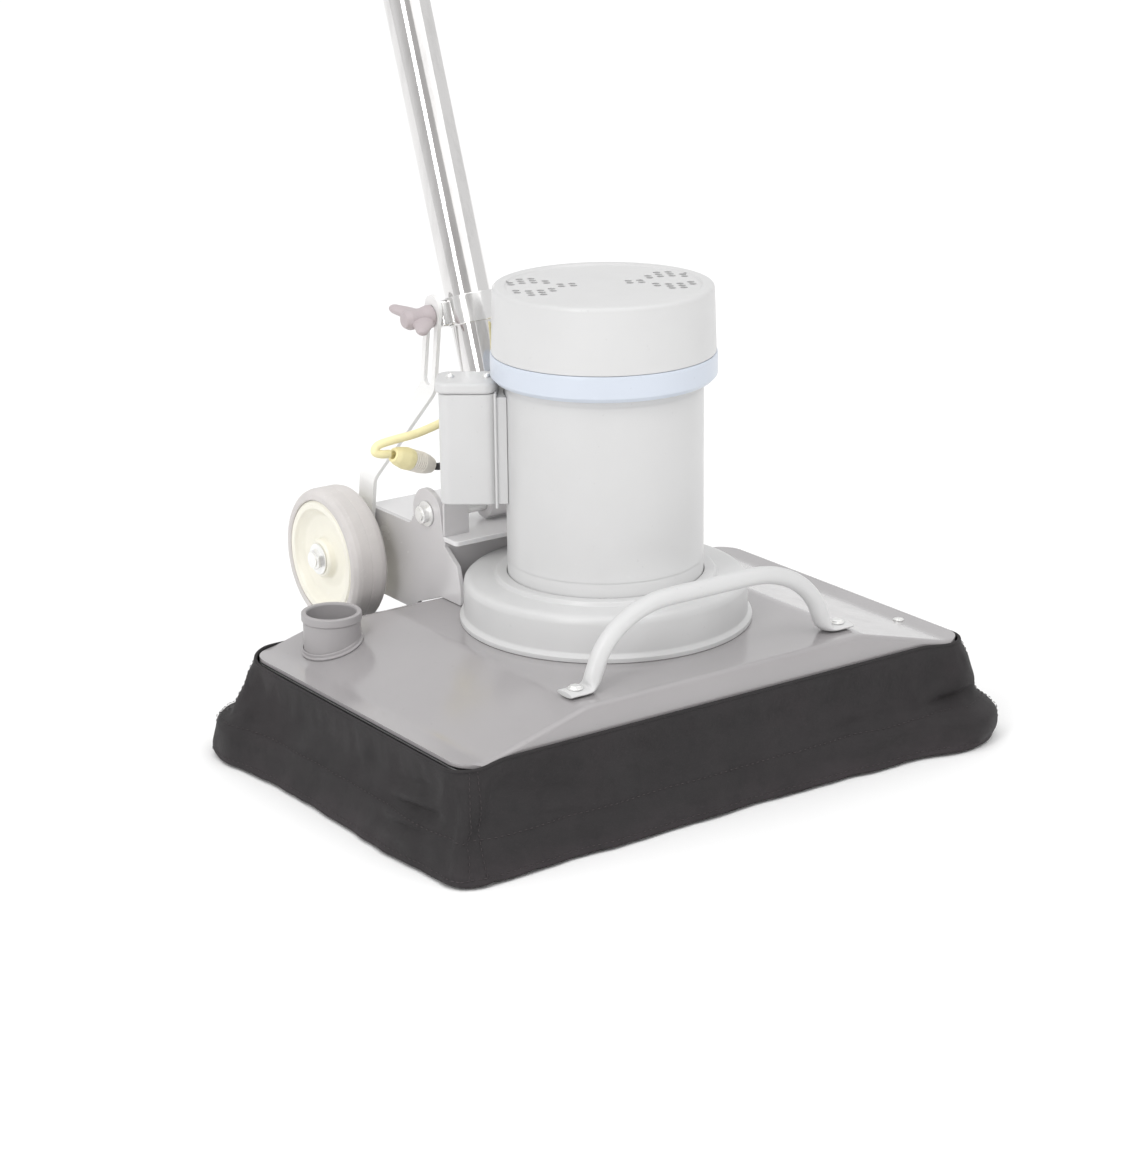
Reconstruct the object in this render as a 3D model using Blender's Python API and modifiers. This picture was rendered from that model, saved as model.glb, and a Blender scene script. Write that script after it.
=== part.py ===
"""Walk-behind orbital floor machine with a rectangular deck, a dust skirt and transport wheels.

X runs across the machine, -Y is its front, +Y its rear (where the operator walks) and +Z is up.
The origin lies on the floor under the middle of the deck. Lengths are in metres.
"""

import math

import bmesh
import bpy
from mathutils import Matrix, Vector

GAP = 0.0003

# Deck: a pressed plate with a raised middle, sloping wings and a vertical front apron
DECK_X, DECK_Y = 0.280, 0.182
DECK_EDGE_Z = 0.097
PLATEAU_Z = 0.1245
PLATEAU_X, SLOPE_END_X = 0.153, 0.256
REAR_BREAK_Y, REAR_EDGE_Z = 0.140, 0.1086
PLATE = 0.0035
APRON_LIP = 0.002
DECK_CORNER = 0.022

# Skirt
SKIRT_TOP_Z, SKIRT_FOOT_Z = 0.0985, 0.003
SKIRT_FLARE = 0.0265
FABRIC = 0.0035
HEM_Z, HEM_STEP = 0.040, 0.004

# Motor, on an upright axis a little behind the deck's middle
MOTOR_Y = 0.005
BASE_R, BASE_TOP_Z = 0.1315, 0.1665
BARREL_R, BARREL_WALL = 0.0905, 0.004
BARREL_FOOT_Z, BARREL_TOP_Z = 0.1628, 0.3995
BAND_FOOT_Z, BAND_TOP_Z, BAND_R = 0.353, 0.377, 0.1030
COVER_R, COVER_TOP_Z = 0.1012, 0.437
SHAFT_R = 0.0125
BEARING_R, BEARING_H = 0.026, 0.015

# Orbital drive
ECCENTRIC = 0.0032
STUB_R = 0.010
DRIVER_X, DRIVER_Y = 0.254, 0.178
DRIVER_FOOT_Z, DRIVER_TOP_Z = 0.0445, 0.0565
PAD_TOP_Z = 0.025
BOSS_TOP_Z = 0.083
ORBIT_BEARING_R = 0.0235
ISOLATOR_X, ISOLATOR_Y = 0.115, 0.122

# Rear bracket, wheels and handle pivot
BRACKET_X, BRACKET_WALL = 0.0945, 0.005
BRACKET_TOP_Z = 0.1862
AXLE_Y, AXLE_Z, AXLE_R = 0.270, 0.1415, 0.008
WHEEL_R, WHEEL_W, WHEEL_OUT_X = 0.068, 0.040, 0.152
HUB_R = 0.0567
PIVOT_Y, PIVOT_Z = 0.1625, 0.2025
EAR_R = 0.0245

# Handle, in its own frame: X across, Y rearward, Z up along the tube from the pivot
HANDLE_LEAN = math.radians(19.5)
TUBE_R, TUBE_WALL = 0.0222, 0.0025
SLEEVE_R, SLEEVE_X = 0.0155, 0.031
TUBE_TOP = 0.905
HOUSING_FOOT, HOUSING_TOP = 0.895, 0.978
HOUSING_X, HOUSING_FRONT, HOUSING_REAR = 0.065, -0.042, 0.042
BAR_R, BAR_UP = 0.0127, 0.947
CLAMP_UP, CLAMP_REAR = 0.1840, 0.0118
HOOK_LOW, HOOK_HIGH = 0.560, 0.800
TRIGGER_REAR, TRIGGER_UP = -0.030, 0.9150
BUTTON_UP = 0.921
GLAND_X, GLAND_REAR = 0.040, 0.015

# Slotted tilt strap, in its own frame: Z up along the strap from the axle
STRAP_LEAN = math.radians(8.634)
STRAP_W, STRAP_T = 0.0254, 0.004
STRAP_OUT_X, STRAP_IN_X = -0.1000, -0.0363
STRAP_LOW_BEND, STRAP_HIGH_BEND, STRAP_TOP = 0.0796, 0.1590, 0.2542
SLOT_LOW, SLOT_HIGH, SLOT_R = 0.1690, 0.2379, 0.0062
STUD_R = 0.004
WING_TILT = math.radians(34.5)

# Capacitor box, in a frame at the motor's axis whose X points out through the box
BOX_TURN = math.radians(143.1)
BOX_IN, BOX_OUT, BOX_HALF_W = 0.0965, 0.1497, 0.023
BOX_FOOT_Z, BOX_TOP_Z = 0.238, 0.3415

# Connector of the handle's lead, from its lead end to its motor end
PLUG_NEAR = Vector((-0.1290, 0.1640, 0.2655))
PLUG_FAR = Vector((-0.0840, 0.1690, 0.2465))

# Vacuum port
PORT_X, PORT_Y, PORT_R, PORT_BORE_R = -0.221, 0.130, 0.0265, 0.023
PORT_FOOT_Z, PORT_TOP_Z = 0.090, 0.1395

# Grab handle
GRAB_Y, GRAB_FOOT_X, GRAB_FLAT_X, GRAB_TOP_Z, GRAB_R = -0.153, 0.1275, 0.045, 0.1935, 0.0080

QUARTER = math.pi / 2
ALONG_X = (0, QUARTER, 0)
FACING_X = (QUARTER, 0, QUARTER)
FACING_Y = (QUARTER, 0, 0)


# ---------------------------------------------------------------- scene and materials

def new_collection(name):
    collection = bpy.data.collections.new(name)
    bpy.context.scene.collection.children.link(collection)
    return collection


for old in list(bpy.data.objects):
    bpy.data.objects.remove(old, do_unlink=True)

PARTS = new_collection("floor_machine")
CUTTERS = new_collection("cutters")

FINISHES = {
    "grey_paint": ((0.70, 0.70, 0.70), 0.42, 0.0),
    "deck_paint": ((0.60, 0.58, 0.58), 0.25, 0.0),
    "blue_plastic": ((0.55, 0.68, 0.86), 0.40, 0.0),
    "bracket_paint": ((0.50, 0.49, 0.50), 0.40, 0.0),
    "black_fabric": ((0.035, 0.033, 0.035), 0.80, 0.0),
    "chrome": ((0.80, 0.78, 0.76), 0.10, 1.0),
    "zinc": ((0.78, 0.78, 0.76), 0.30, 1.0),
    "steel": ((0.55, 0.55, 0.56), 0.35, 1.0),
    "aluminium": ((0.72, 0.72, 0.73), 0.35, 1.0),
    "cast_iron": ((0.18, 0.18, 0.18), 0.60, 0.6),
    "copper": ((0.72, 0.40, 0.25), 0.45, 0.8),
    "port_plastic": ((0.30, 0.29, 0.29), 0.45, 0.0),
    "black_plastic": ((0.10, 0.10, 0.10), 0.50, 0.0),
    "tyre_rubber": ((0.48, 0.47, 0.46), 0.75, 0.0),
    "cream_plastic": ((0.88, 0.86, 0.74), 0.40, 0.0),
    "knob_plastic": ((0.42, 0.40, 0.41), 0.45, 0.0),
    "yellow_lead": ((0.95, 0.86, 0.20), 0.50, 0.0),
    "red_plastic": ((0.60, 0.06, 0.05), 0.40, 0.0),
    "black_rubber": ((0.06, 0.06, 0.06), 0.80, 0.0),
    "pad_fibre": ((0.45, 0.10, 0.08), 0.95, 0.0),
}
MATERIALS = {}


def finish(name):
    if name not in MATERIALS:
        color, roughness, metallic = FINISHES[name]
        made = bpy.data.materials.new(name)
        made.use_nodes = True
        shader = made.node_tree.nodes["Principled BSDF"]
        shader.inputs["Base Color"].default_value = (*color, 1.0)
        shader.inputs["Roughness"].default_value = roughness
        shader.inputs["Metallic"].default_value = metallic
        made.diffuse_color = (*color, 1.0)
        MATERIALS[name] = made
    return MATERIALS[name]


# ---------------------------------------------------------------- modelling helpers

def place(obj, at, turn, parent):
    obj.location = at
    obj.rotation_euler = turn
    obj.parent = parent


def add_part(name, mesh, finish_name, at=(0, 0, 0), turn=(0, 0, 0), parent=None):
    """A named sub-part; finish_name None makes a cutter or a piece to be joined."""
    obj = bpy.data.objects.new(name, mesh)
    if finish_name is None:
        CUTTERS.objects.link(obj)
        obj.hide_render = True
        obj.display_type = "WIRE"
    else:
        PARTS.objects.link(obj)
        mesh.materials.append(finish(finish_name))
    place(obj, at, turn, parent)
    return obj


def empty(name, at, turn=(0, 0, 0), parent=None):
    obj = bpy.data.objects.new(name, None)
    PARTS.objects.link(obj)
    obj.empty_display_size = 0.03
    place(obj, at, turn, parent)
    return obj


def boolean(target, other, operation):
    modifier = target.modifiers.new(operation.lower(), "BOOLEAN")
    modifier.operation = operation
    modifier.solver = "EXACT"
    modifier.object = other


def cut(target, *cutters):
    for cutter in cutters:
        boolean(target, cutter, "DIFFERENCE")


def join(target, *pieces):
    for piece in pieces:
        boolean(target, piece, "UNION")


def turned(name, profile, finish_name, steps=36, **where):
    """A shape turned about its own Z: profile is (radius, height) points, outer side downwards.

    A profile that starts on the axis is a solid; any other is a closed ring section.
    """
    mesh = bpy.data.meshes.new(name)
    count = len(profile)
    edges = [(i, i + 1) for i in range(count - 1)]
    if profile[0][0] > 0:
        edges.append((count - 1, 0))
    mesh.from_pydata([(r, 0, z) for r, z in profile], edges, [])
    obj = add_part(name, mesh, finish_name, **where)
    screw = obj.modifiers.new("turn", "SCREW")
    screw.axis = "Z"
    screw.steps = steps
    screw.render_steps = steps
    screw.use_merge_vertices = True
    screw.merge_threshold = 0.00001
    screw.use_smooth_shade = True
    return obj


def rod(radius, low, high):
    return [(0, high), (radius, high), (radius, low), (0, low)]


def ring(outer, inner, low, high):
    return [(outer, high), (outer, low), (inner, low), (inner, high)]


def block(name, size, finish_name, bevel=0.0, segments=2, **where):
    """A box of full size (x, y, z) about its own origin, with rounded edges."""
    mesh = bpy.data.meshes.new(name)
    box = bmesh.new()
    bmesh.ops.create_cube(box, size=1.0)
    bmesh.ops.scale(box, vec=size, verts=box.verts)
    box.to_mesh(mesh)
    box.free()
    obj = add_part(name, mesh, finish_name, **where)
    if bevel:
        rounding = obj.modifiers.new("rounding", "BEVEL")
        rounding.width = bevel
        rounding.segments = segments
    return obj


def between(name, low, high, finish_name, bevel=0.0, parent=None):
    """A box from its low corner to its high corner."""
    size = [b - a for a, b in zip(low, high)]
    middle = [(a + b) / 2 for a, b in zip(low, high)]
    return block(name, size, finish_name, bevel, at=middle, parent=parent)


def arc(cx, cy, radius, start, end, count):
    """Points on an arc, angles in degrees."""
    return [
        (
            cx + radius * math.cos(math.radians(start + (end - start) * i / count)),
            cy + radius * math.sin(math.radians(start + (end - start) * i / count)),
        )
        for i in range(count + 1)
    ]


def circle(cx, cy, radius, count):
    return arc(cx, cy, radius, 0, 360, count)[:-1]


def rounded_rectangle(half_x, half_y, radius, count=5):
    outline = []
    for sx, sy, start in ((1, 1, 0), (-1, 1, 90), (-1, -1, 180), (1, -1, 270)):
        outline += arc(
            sx * (half_x - radius), sy * (half_y - radius), radius, start, start + 90, count
        )
    return outline


def mesh_of_curve(curve, name):
    """The closed mesh of a curve, with its caps welded to its sides."""
    guide = bpy.data.objects.new(name + "_curve", curve)
    bpy.context.scene.collection.objects.link(guide)
    graph = bpy.context.evaluated_depsgraph_get()
    mesh = bpy.data.meshes.new_from_object(guide.evaluated_get(graph))
    bpy.data.objects.remove(guide)
    bpy.data.curves.remove(curve)
    welded = bmesh.new()
    welded.from_mesh(mesh)
    bmesh.ops.remove_doubles(welded, verts=welded.verts, dist=0.000001)
    bmesh.ops.recalc_face_normals(welded, faces=welded.faces)
    welded.to_mesh(mesh)
    welded.free()
    mesh.name = name
    return mesh


def plate(name, loops, thickness, finish_name, **where):
    """A flat outline in its own XY plane, with holes as further loops, thickness along its Z."""
    curve = bpy.data.curves.new(name, "CURVE")
    curve.dimensions = "2D"
    curve.fill_mode = "BOTH"
    curve.extrude = thickness / 2
    for loop in loops:
        spline = curve.splines.new("POLY")
        spline.points.add(len(loop) - 1)
        for point, (x, y) in zip(spline.points, loop):
            point.co = (x, y, 0, 1)
        spline.use_cyclic_u = True
    return add_part(name, mesh_of_curve(curve, name), finish_name, **where)


def round_curve(name, points, radius, resolution):
    curve = bpy.data.curves.new(name, "CURVE")
    curve.dimensions = "3D"
    curve.bevel_depth = radius
    curve.bevel_resolution = resolution
    curve.use_fill_caps = True
    spline = curve.splines.new("POLY")
    spline.points.add(len(points) - 1)
    for point, co in zip(spline.points, points):
        point.co = (*co, 1)
    return curve


def bent_bar(name, points, radius, finish_name, resolution=3, **where):
    """A round bar along points, as a mesh, so that it can be cut or joined."""
    curve = round_curve(name, points, radius, resolution)
    return add_part(name, mesh_of_curve(curve, name), finish_name, **where)


def smooth_route(points, spacing):
    """Evenly spaced points on a Catmull-Rom curve through the route's own points."""
    route = [Vector(p) for p in points]
    route = [2 * route[0] - route[1], *route, 2 * route[-1] - route[-2]]
    dense = []
    for a, b, c, d in zip(route, route[1:], route[2:], route[3:]):
        for step in range(20):
            t = step / 20
            dense.append(
                b
                + (c - a) * t / 2
                + (2 * a - 5 * b + 4 * c - d) * t**2 / 2
                + (3 * b - a - 3 * c + d) * t**3 / 2
            )
    dense.append(route[-2])
    kept = [dense[0]]
    for point in dense[1:-1]:
        if (point - kept[-1]).length >= spacing and (point - dense[-1]).length > spacing / 2:
            kept.append(point)
    return [*kept, dense[-1]]


def lead(name, points, radius, finish_name):
    """A flexible lead: a plain tube on a smooth route."""
    curve = round_curve(name, smooth_route(points, 2.2 * radius), radius, 2)
    curve.materials.append(finish(finish_name))
    obj = bpy.data.objects.new(name, curve)
    PARTS.objects.link(obj)
    return obj


def loft(name, sections, finish_name):
    """A closed surface through rings of equal point count, the last ring joined to the first."""
    mesh = bpy.data.meshes.new(name)
    count = len(sections[0])
    points = [point for section in sections for point in section]
    faces = []
    for s in range(len(sections)):
        here, there = s * count, (s + 1) % len(sections) * count
        for i in range(count):
            j = (i + 1) % count
            faces.append((here + i, here + j, there + j, there + i))
    mesh.from_pydata(points, [], faces)
    made = bmesh.new()
    made.from_mesh(mesh)
    bmesh.ops.recalc_face_normals(made, faces=made.faces)
    made.to_mesh(mesh)
    made.free()
    return add_part(name, mesh, finish_name)


# ---------------------------------------------------------------- deck and skirt

def deck_height(x, y):
    """Height of the deck's upper face."""
    wing = (abs(x) - PLATEAU_X) / (SLOPE_END_X - PLATEAU_X)
    across = PLATEAU_Z + (DECK_EDGE_Z - PLATEAU_Z) * min(max(wing, 0.0), 1.0)
    rear = PLATEAU_Z + (REAR_EDGE_Z - PLATEAU_Z) * (y - REAR_BREAK_Y) / (DECK_Y - REAR_BREAK_Y)
    return min(across, rear)


def wing_x_at(z):
    """Distance from the middle at which the wing's slope reaches a height."""
    share = (PLATEAU_Z - z) / (PLATEAU_Z - DECK_EDGE_Z)
    return PLATEAU_X + (SLOPE_END_X - PLATEAU_X) * share


def deck_plate():
    """A sheet over a grid of points: row 0 is the apron's foot, and the creases run to the rear corners."""
    margin = 0.002
    half = [0.0, PLATEAU_X, wing_x_at(REAR_EDGE_Z), SLOPE_END_X, DECK_X + margin]
    columns = [-x for x in reversed(half[1:])] + half
    rows = [-DECK_Y, -DECK_Y, REAR_BREAK_Y, DECK_Y]
    apron_foot = DECK_EDGE_Z - PLATE - APRON_LIP
    points = [
        (x, y, apron_foot if row == 0 else deck_height(x, y))
        for row, y in enumerate(rows)
        for x in columns
    ]
    width = len(columns)
    faces = []
    for row in range(len(rows) - 1):
        for column in range(width - 1):
            a, b = row * width + column, row * width + column + 1
            c, d = b + width, a + width
            if columns[column] < 0:
                faces += [(a, b, d), (b, c, d)]
            else:
                faces += [(a, b, c), (a, c, d)]
    mesh = bpy.data.meshes.new("deck_plate")
    mesh.from_pydata(points, [], faces)
    deck = add_part("deck_plate", mesh, "deck_paint")
    thick = deck.modifiers.new("sheet", "SOLIDIFY")
    thick.thickness = PLATE
    thick.offset = -1
    thick.use_even_offset = True
    corners = rounded_rectangle(DECK_X, DECK_Y + margin, DECK_CORNER + 0.008)
    trim = plate("deck_trim", [corners], 0.2, None, at=(0, 0, DECK_EDGE_Z))
    boolean(deck, trim, "INTERSECT")
    shaft_hole = turned(
        "deck_shaft_hole", rod(0.030, 0.1, 0.15), None, 24, at=(0, MOTOR_Y, 0)
    )
    port_hole = turned(
        "deck_port_hole", rod(PORT_R + 2 * GAP, 0.07, 0.15), None, 24, at=(PORT_X, PORT_Y, 0)
    )
    cut(deck, shaft_hole, port_hole)


def skirt_ring(offset, z):
    """One level of the skirt: the deck's outline moved outwards."""
    outline = rounded_rectangle(DECK_X + offset, DECK_Y + offset, DECK_CORNER + offset)
    return [(x, y, z) for x, y in outline]


def dust_skirt():
    clear = 2 * GAP
    flare = SKIRT_FLARE
    hem_share = (SKIRT_TOP_Z - HEM_Z) / (SKIRT_TOP_Z - SKIRT_FOOT_Z)
    at_hem = flare * hem_share
    sections = [
        skirt_ring(clear + FABRIC, SKIRT_TOP_Z),
        skirt_ring(clear + FABRIC + at_hem, HEM_Z + 0.003),
        skirt_ring(clear + FABRIC + at_hem + HEM_STEP, HEM_Z - 0.004),
        skirt_ring(clear + FABRIC + flare + HEM_STEP, SKIRT_FOOT_Z),
        skirt_ring(clear + flare, SKIRT_FOOT_Z),
        skirt_ring(clear + at_hem, HEM_Z),
        skirt_ring(clear, SKIRT_TOP_Z),
    ]
    loft("dust_skirt", sections, "black_fabric")


def skirt_frame():
    outer, wall, tall = 0.0008, 0.003, 0.016
    top = DECK_EDGE_Z - PLATE - APRON_LIP - GAP
    outlines = [
        rounded_rectangle(DECK_X - inset, DECK_Y - inset, DECK_CORNER - inset, 4)
        for inset in (outer, outer + wall)
    ]
    plate("skirt_frame", outlines, tall, "steel", at=(0, 0, top - tall / 2))


def vacuum_port():
    port = turned(
        "vacuum_port",
        [
            (PORT_R + 0.0015, PORT_TOP_Z),
            (PORT_R + 0.0015, PORT_TOP_Z - 0.007),
            (PORT_R, PORT_TOP_Z - 0.0085),
            (PORT_R, PORT_FOOT_Z),
            (PORT_BORE_R, PORT_FOOT_Z),
            (PORT_BORE_R, PORT_TOP_Z),
        ],
        "port_plastic",
        24,
        at=(PORT_X, PORT_Y, 0),
    )
    collar = turned(
        "port_collar",
        ring(PORT_R + 0.0030, PORT_BORE_R + 0.001, 0.090, 0.1160),
        None,
        24,
        at=(PORT_X, PORT_Y, 0),
    )
    slope = math.atan2(PLATEAU_Z - DECK_EDGE_Z, SLOPE_END_X - PLATEAU_X)
    lift = deck_height(PORT_X, 0) + 2 * GAP
    depth = 0.06
    under_deck = block(
        "port_collar_seat",
        (0.2, 0.2, depth),
        None,
        at=(PORT_X + depth / 2 * math.sin(slope), PORT_Y, lift - depth / 2 * math.cos(slope)),
        turn=(0, -slope, 0),
    )
    cut(collar, under_deck)
    join(port, collar)


def grab_handle():
    rise = GRAB_TOP_Z - PLATEAU_Z - 0.003
    foot = PLATEAU_Z + 0.003
    side = [
        (
            -GRAB_FLAT_X - (GRAB_FOOT_X - GRAB_FLAT_X) * math.cos(math.radians(angle)),
            foot + rise * math.sin(math.radians(angle)),
        )
        for angle in range(0, 91, 15)
    ]
    path = side + [(-x, z) for x, z in reversed(side)]
    grab = bent_bar(
        "grab_handle", [(x, GRAB_Y, z) for x, z in path], GRAB_R, "grey_paint", 3
    )
    under = between(
        "grab_foot_trim", (-0.2, -0.2, 0.10), (0.2, -0.1, PLATEAU_Z + GAP), None
    )
    for name, sx in (("left", -1), ("right", 1)):
        tab = block(
            "grab_tab_" + name,
            (0.034, 0.020, 0.005),
            None,
            0.0015,
            at=(sx * 0.1375, GRAB_Y, PLATEAU_Z + 0.0031),
        )
        join(grab, tab)
    cut(grab, under)
    for name, sx in (("left", -1), ("right", 1)):
        turned(
            "grab_bolt_" + name,
            [(0, 0.0065), (0.0035, 0.006), (0.0058, 0.0040), (0.0066, 0.0016), (0.0066, 0), (0, 0)],
            "zinc",
            16,
            at=(sx * 0.1460, GRAB_Y, PLATEAU_Z + 0.0056 + GAP),
        )


# ---------------------------------------------------------------- motor

def motor_base():
    foot = PLATEAU_Z + GAP
    edge = 0.008
    rounded = arc(BASE_R - edge, BASE_TOP_Z - edge, edge, 90, 0, 3)
    profile = [
        (BARREL_R + 0.0007, BASE_TOP_Z + 0.0045),
        (BARREL_R + 0.0115, BASE_TOP_Z + 0.0045),
        (BARREL_R + 0.0135, BASE_TOP_Z),
        *rounded,
        (BASE_R, foot + 0.007),
        (BASE_R + 0.004, foot + 0.004),
        (BASE_R + 0.004, foot),
        (0.050, foot),
        (0.050, BARREL_FOOT_Z - 0.004),
        (0.078, BARREL_FOOT_Z - 0.004),
        (0.078, BARREL_FOOT_Z - GAP),
        (BARREL_R + 0.0007, BARREL_FOOT_Z - GAP),
    ]
    turned("motor_base", profile, "grey_paint", 40, at=(0, MOTOR_Y, 0))


def motor_shell():
    inner = BARREL_R - BARREL_WALL
    turned(
        "motor_barrel",
        ring(BARREL_R, inner, BARREL_FOOT_Z, BARREL_TOP_Z),
        "grey_paint",
        36,
        at=(0, MOTOR_Y, 0),
    )
    turned(
        "band_ring",
        [
            (BAND_R - 0.0015, BAND_TOP_Z),
            (BAND_R, BAND_TOP_Z - 0.0015),
            (BAND_R, BAND_FOOT_Z + 0.003),
            (BAND_R - 0.003, BAND_FOOT_Z),
            (BARREL_R + 2 * GAP, BAND_FOOT_Z),
            (BARREL_R + 2 * GAP, BAND_TOP_Z),
        ],
        "blue_plastic",
        36,
        at=(0, MOTOR_Y, 0),
    )
    wall, edge, flare = 0.0025, 0.005, 0.0015
    low = BAND_TOP_Z + GAP
    cover = turned(
        "fan_cover",
        [
            (0, COVER_TOP_Z),
            *arc(COVER_R - flare - edge, COVER_TOP_Z - edge, edge, 90, 0, 3),
            (COVER_R, low),
            (COVER_R - wall, low),
            (COVER_R - flare - wall, COVER_TOP_Z - wall),
            (0, COVER_TOP_Z - wall),
        ],
        "grey_paint",
        36,
        at=(0, MOTOR_Y, 0),
    )
    holes = bmesh.new()
    for side in (-1, 1):
        for column in range(5):
            reach = 0.030 + 0.0125 * column
            rows = 2 + column
            for row in range(rows):
                across = (row - (rows - 1) / 2) * 0.0135
                bmesh.ops.create_cone(
                    holes,
                    cap_ends=True,
                    segments=6,
                    radius1=0.0034,
                    radius2=0.0034,
                    depth=0.02,
                    matrix=Matrix.Translation((side * reach, across, COVER_TOP_Z)),
                )
    mesh = bpy.data.meshes.new("cover_vents")
    holes.to_mesh(mesh)
    holes.free()
    cut(cover, add_part("cover_vents", mesh, None, at=(0, MOTOR_Y, 0)))


def motor_inside():
    fit = BARREL_R - BARREL_WALL - 2 * GAP
    seat = BEARING_R + GAP
    low_seat = 0.1635
    turned(
        "lower_end_bell",
        [
            (fit, 0.1705),
            (fit, BARREL_FOOT_Z),
            (0.034, BARREL_FOOT_Z),
            (0.032, low_seat - BEARING_H - GAP),
            (seat, low_seat - BEARING_H - GAP),
            (seat, low_seat),
            (SHAFT_R + 0.0015, low_seat),
            (SHAFT_R + 0.0015, 0.1705),
        ],
        "aluminium",
        28,
        at=(0, MOTOR_Y, 0),
    )
    high_seat = 0.3885
    turned(
        "upper_end_bell",
        [
            (fit, 0.3955),
            (fit, 0.3880),
            (0.034, 0.3880),
            (0.032, high_seat - BEARING_H - GAP),
            (seat, high_seat - BEARING_H - GAP),
            (seat, high_seat),
            (SHAFT_R + 0.0015, high_seat),
            (SHAFT_R + 0.0015, 0.3955),
        ],
        "aluminium",
        28,
        at=(0, MOTOR_Y, 0),
    )
    for name, top in (("lower_bearing", low_seat), ("upper_bearing", high_seat)):
        turned(
            name,
            ring(BEARING_R, SHAFT_R + GAP, top - BEARING_H, top - GAP),
            "steel",
            18,
            at=(0, MOTOR_Y, 0),
        )
    turned("stator_core", ring(fit, 0.0485, 0.205, 0.335), "copper", 28, at=(0, MOTOR_Y, 0))


def rotor(axis):
    shaft = turned("motor_shaft", rod(SHAFT_R, 0.0965, 0.4230), "steel", 24, parent=axis)
    web = turned("eccentric_web", rod(0.016, 0.0900, 0.0980), None, 24, parent=axis)
    stub = turned(
        "eccentric_stub", rod(STUB_R, 0.0640, 0.0960), None, 24, at=(ECCENTRIC, 0, 0), parent=axis
    )
    join(shaft, web, stub)
    turned(
        "rotor_core", ring(0.0478, SHAFT_R + GAP, 0.210, 0.330), "steel", 32, parent=axis
    )
    fan = turned(
        "cooling_fan", ring(0.083, SHAFT_R + GAP, 0.4010, 0.4035), "aluminium", 24, parent=axis
    )
    hub = turned("fan_hub", ring(0.020, SHAFT_R + GAP, 0.4015, 0.4200), None, 24, parent=axis)
    join(fan, hub)
    for blade in range(6):
        angle = math.tau * blade / 6
        vane = block(
            f"fan_blade_{blade}",
            (0.058, 0.002, 0.018),
            None,
            at=(0.048 * math.cos(angle), 0.048 * math.sin(angle), 0.4115),
            turn=(0, 0, angle),
            parent=axis,
        )
        join(fan, vane)
    outline = arc(0, 0, 0.046, 90, 270, 12) + arc(0, 0, 0.019, -80, 80, 8)
    plate(
        "counterweight",
        [outline, circle(0, 0, SHAFT_R + GAP, 24)],
        0.0145,
        "cast_iron",
        at=(0, 0, 0.1063),
        parent=axis,
    )


def orbit_drive(axis):
    """The driver plate and pad, carried in a circle by the eccentric; axis is the eccentric's."""
    turned(
        "orbit_bearing",
        ring(ORBIT_BEARING_R, STUB_R + GAP, 0.0668, 0.0808),
        "steel",
        24,
        parent=axis,
    )
    middle = (DRIVER_FOOT_Z + DRIVER_TOP_Z) / 2
    driver = plate(
        "driver_plate",
        [rounded_rectangle(DRIVER_X, DRIVER_Y, 0.012, 3)],
        DRIVER_TOP_Z - DRIVER_FOOT_Z,
        "aluminium",
        at=(-ECCENTRIC, -MOTOR_Y, middle),
        parent=axis,
    )
    boss = turned("driver_boss", rod(0.034, 0.0500, BOSS_TOP_Z), None, 28, parent=axis)
    join(driver, boss)
    seat = turned("driver_seat", rod(ORBIT_BEARING_R + GAP, 0.0665, 0.09), None, 28, parent=axis)
    relief = turned("driver_relief", rod(0.015, 0.0610, 0.07), None, 20, parent=axis)
    cut(driver, seat, relief)
    for name, low, high, finish_name, inset in (
        ("pad_holder", PAD_TOP_Z + GAP, DRIVER_FOOT_Z - GAP, "black_rubber", 0.002),
        ("floor_pad", 0.0, PAD_TOP_Z, "pad_fibre", 0.0),
    ):
        plate(
            name,
            [rounded_rectangle(DRIVER_X - inset, DRIVER_Y - inset, 0.012, 3)],
            high - low,
            finish_name,
            at=(-ECCENTRIC, -MOTOR_Y, (low + high) / 2),
            parent=axis,
        )


def isolators():
    """Rubber posts between the deck and the driver plate."""
    low, high = DRIVER_TOP_Z + 2 * GAP, PLATEAU_Z - PLATE - GAP
    names = ("front_left", "front_right", "rear_left", "rear_right")
    sides = ((-1, -1), (1, -1), (-1, 1), (1, 1))
    for name, (sx, sy) in zip(names, sides):
        turned(
            "isolator_" + name,
            [
                (0, high),
                (0.016, high),
                (0.016, high - 0.006),
                (0.011, high - 0.014),
                (0.011, low + 0.014),
                (0.016, low + 0.006),
                (0.016, low),
                (0, low),
            ],
            "black_rubber",
            14,
            at=(sx * ISOLATOR_X, sy * ISOLATOR_Y, 0),
        )


# ---------------------------------------------------------------- capacitor box and leads

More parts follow.
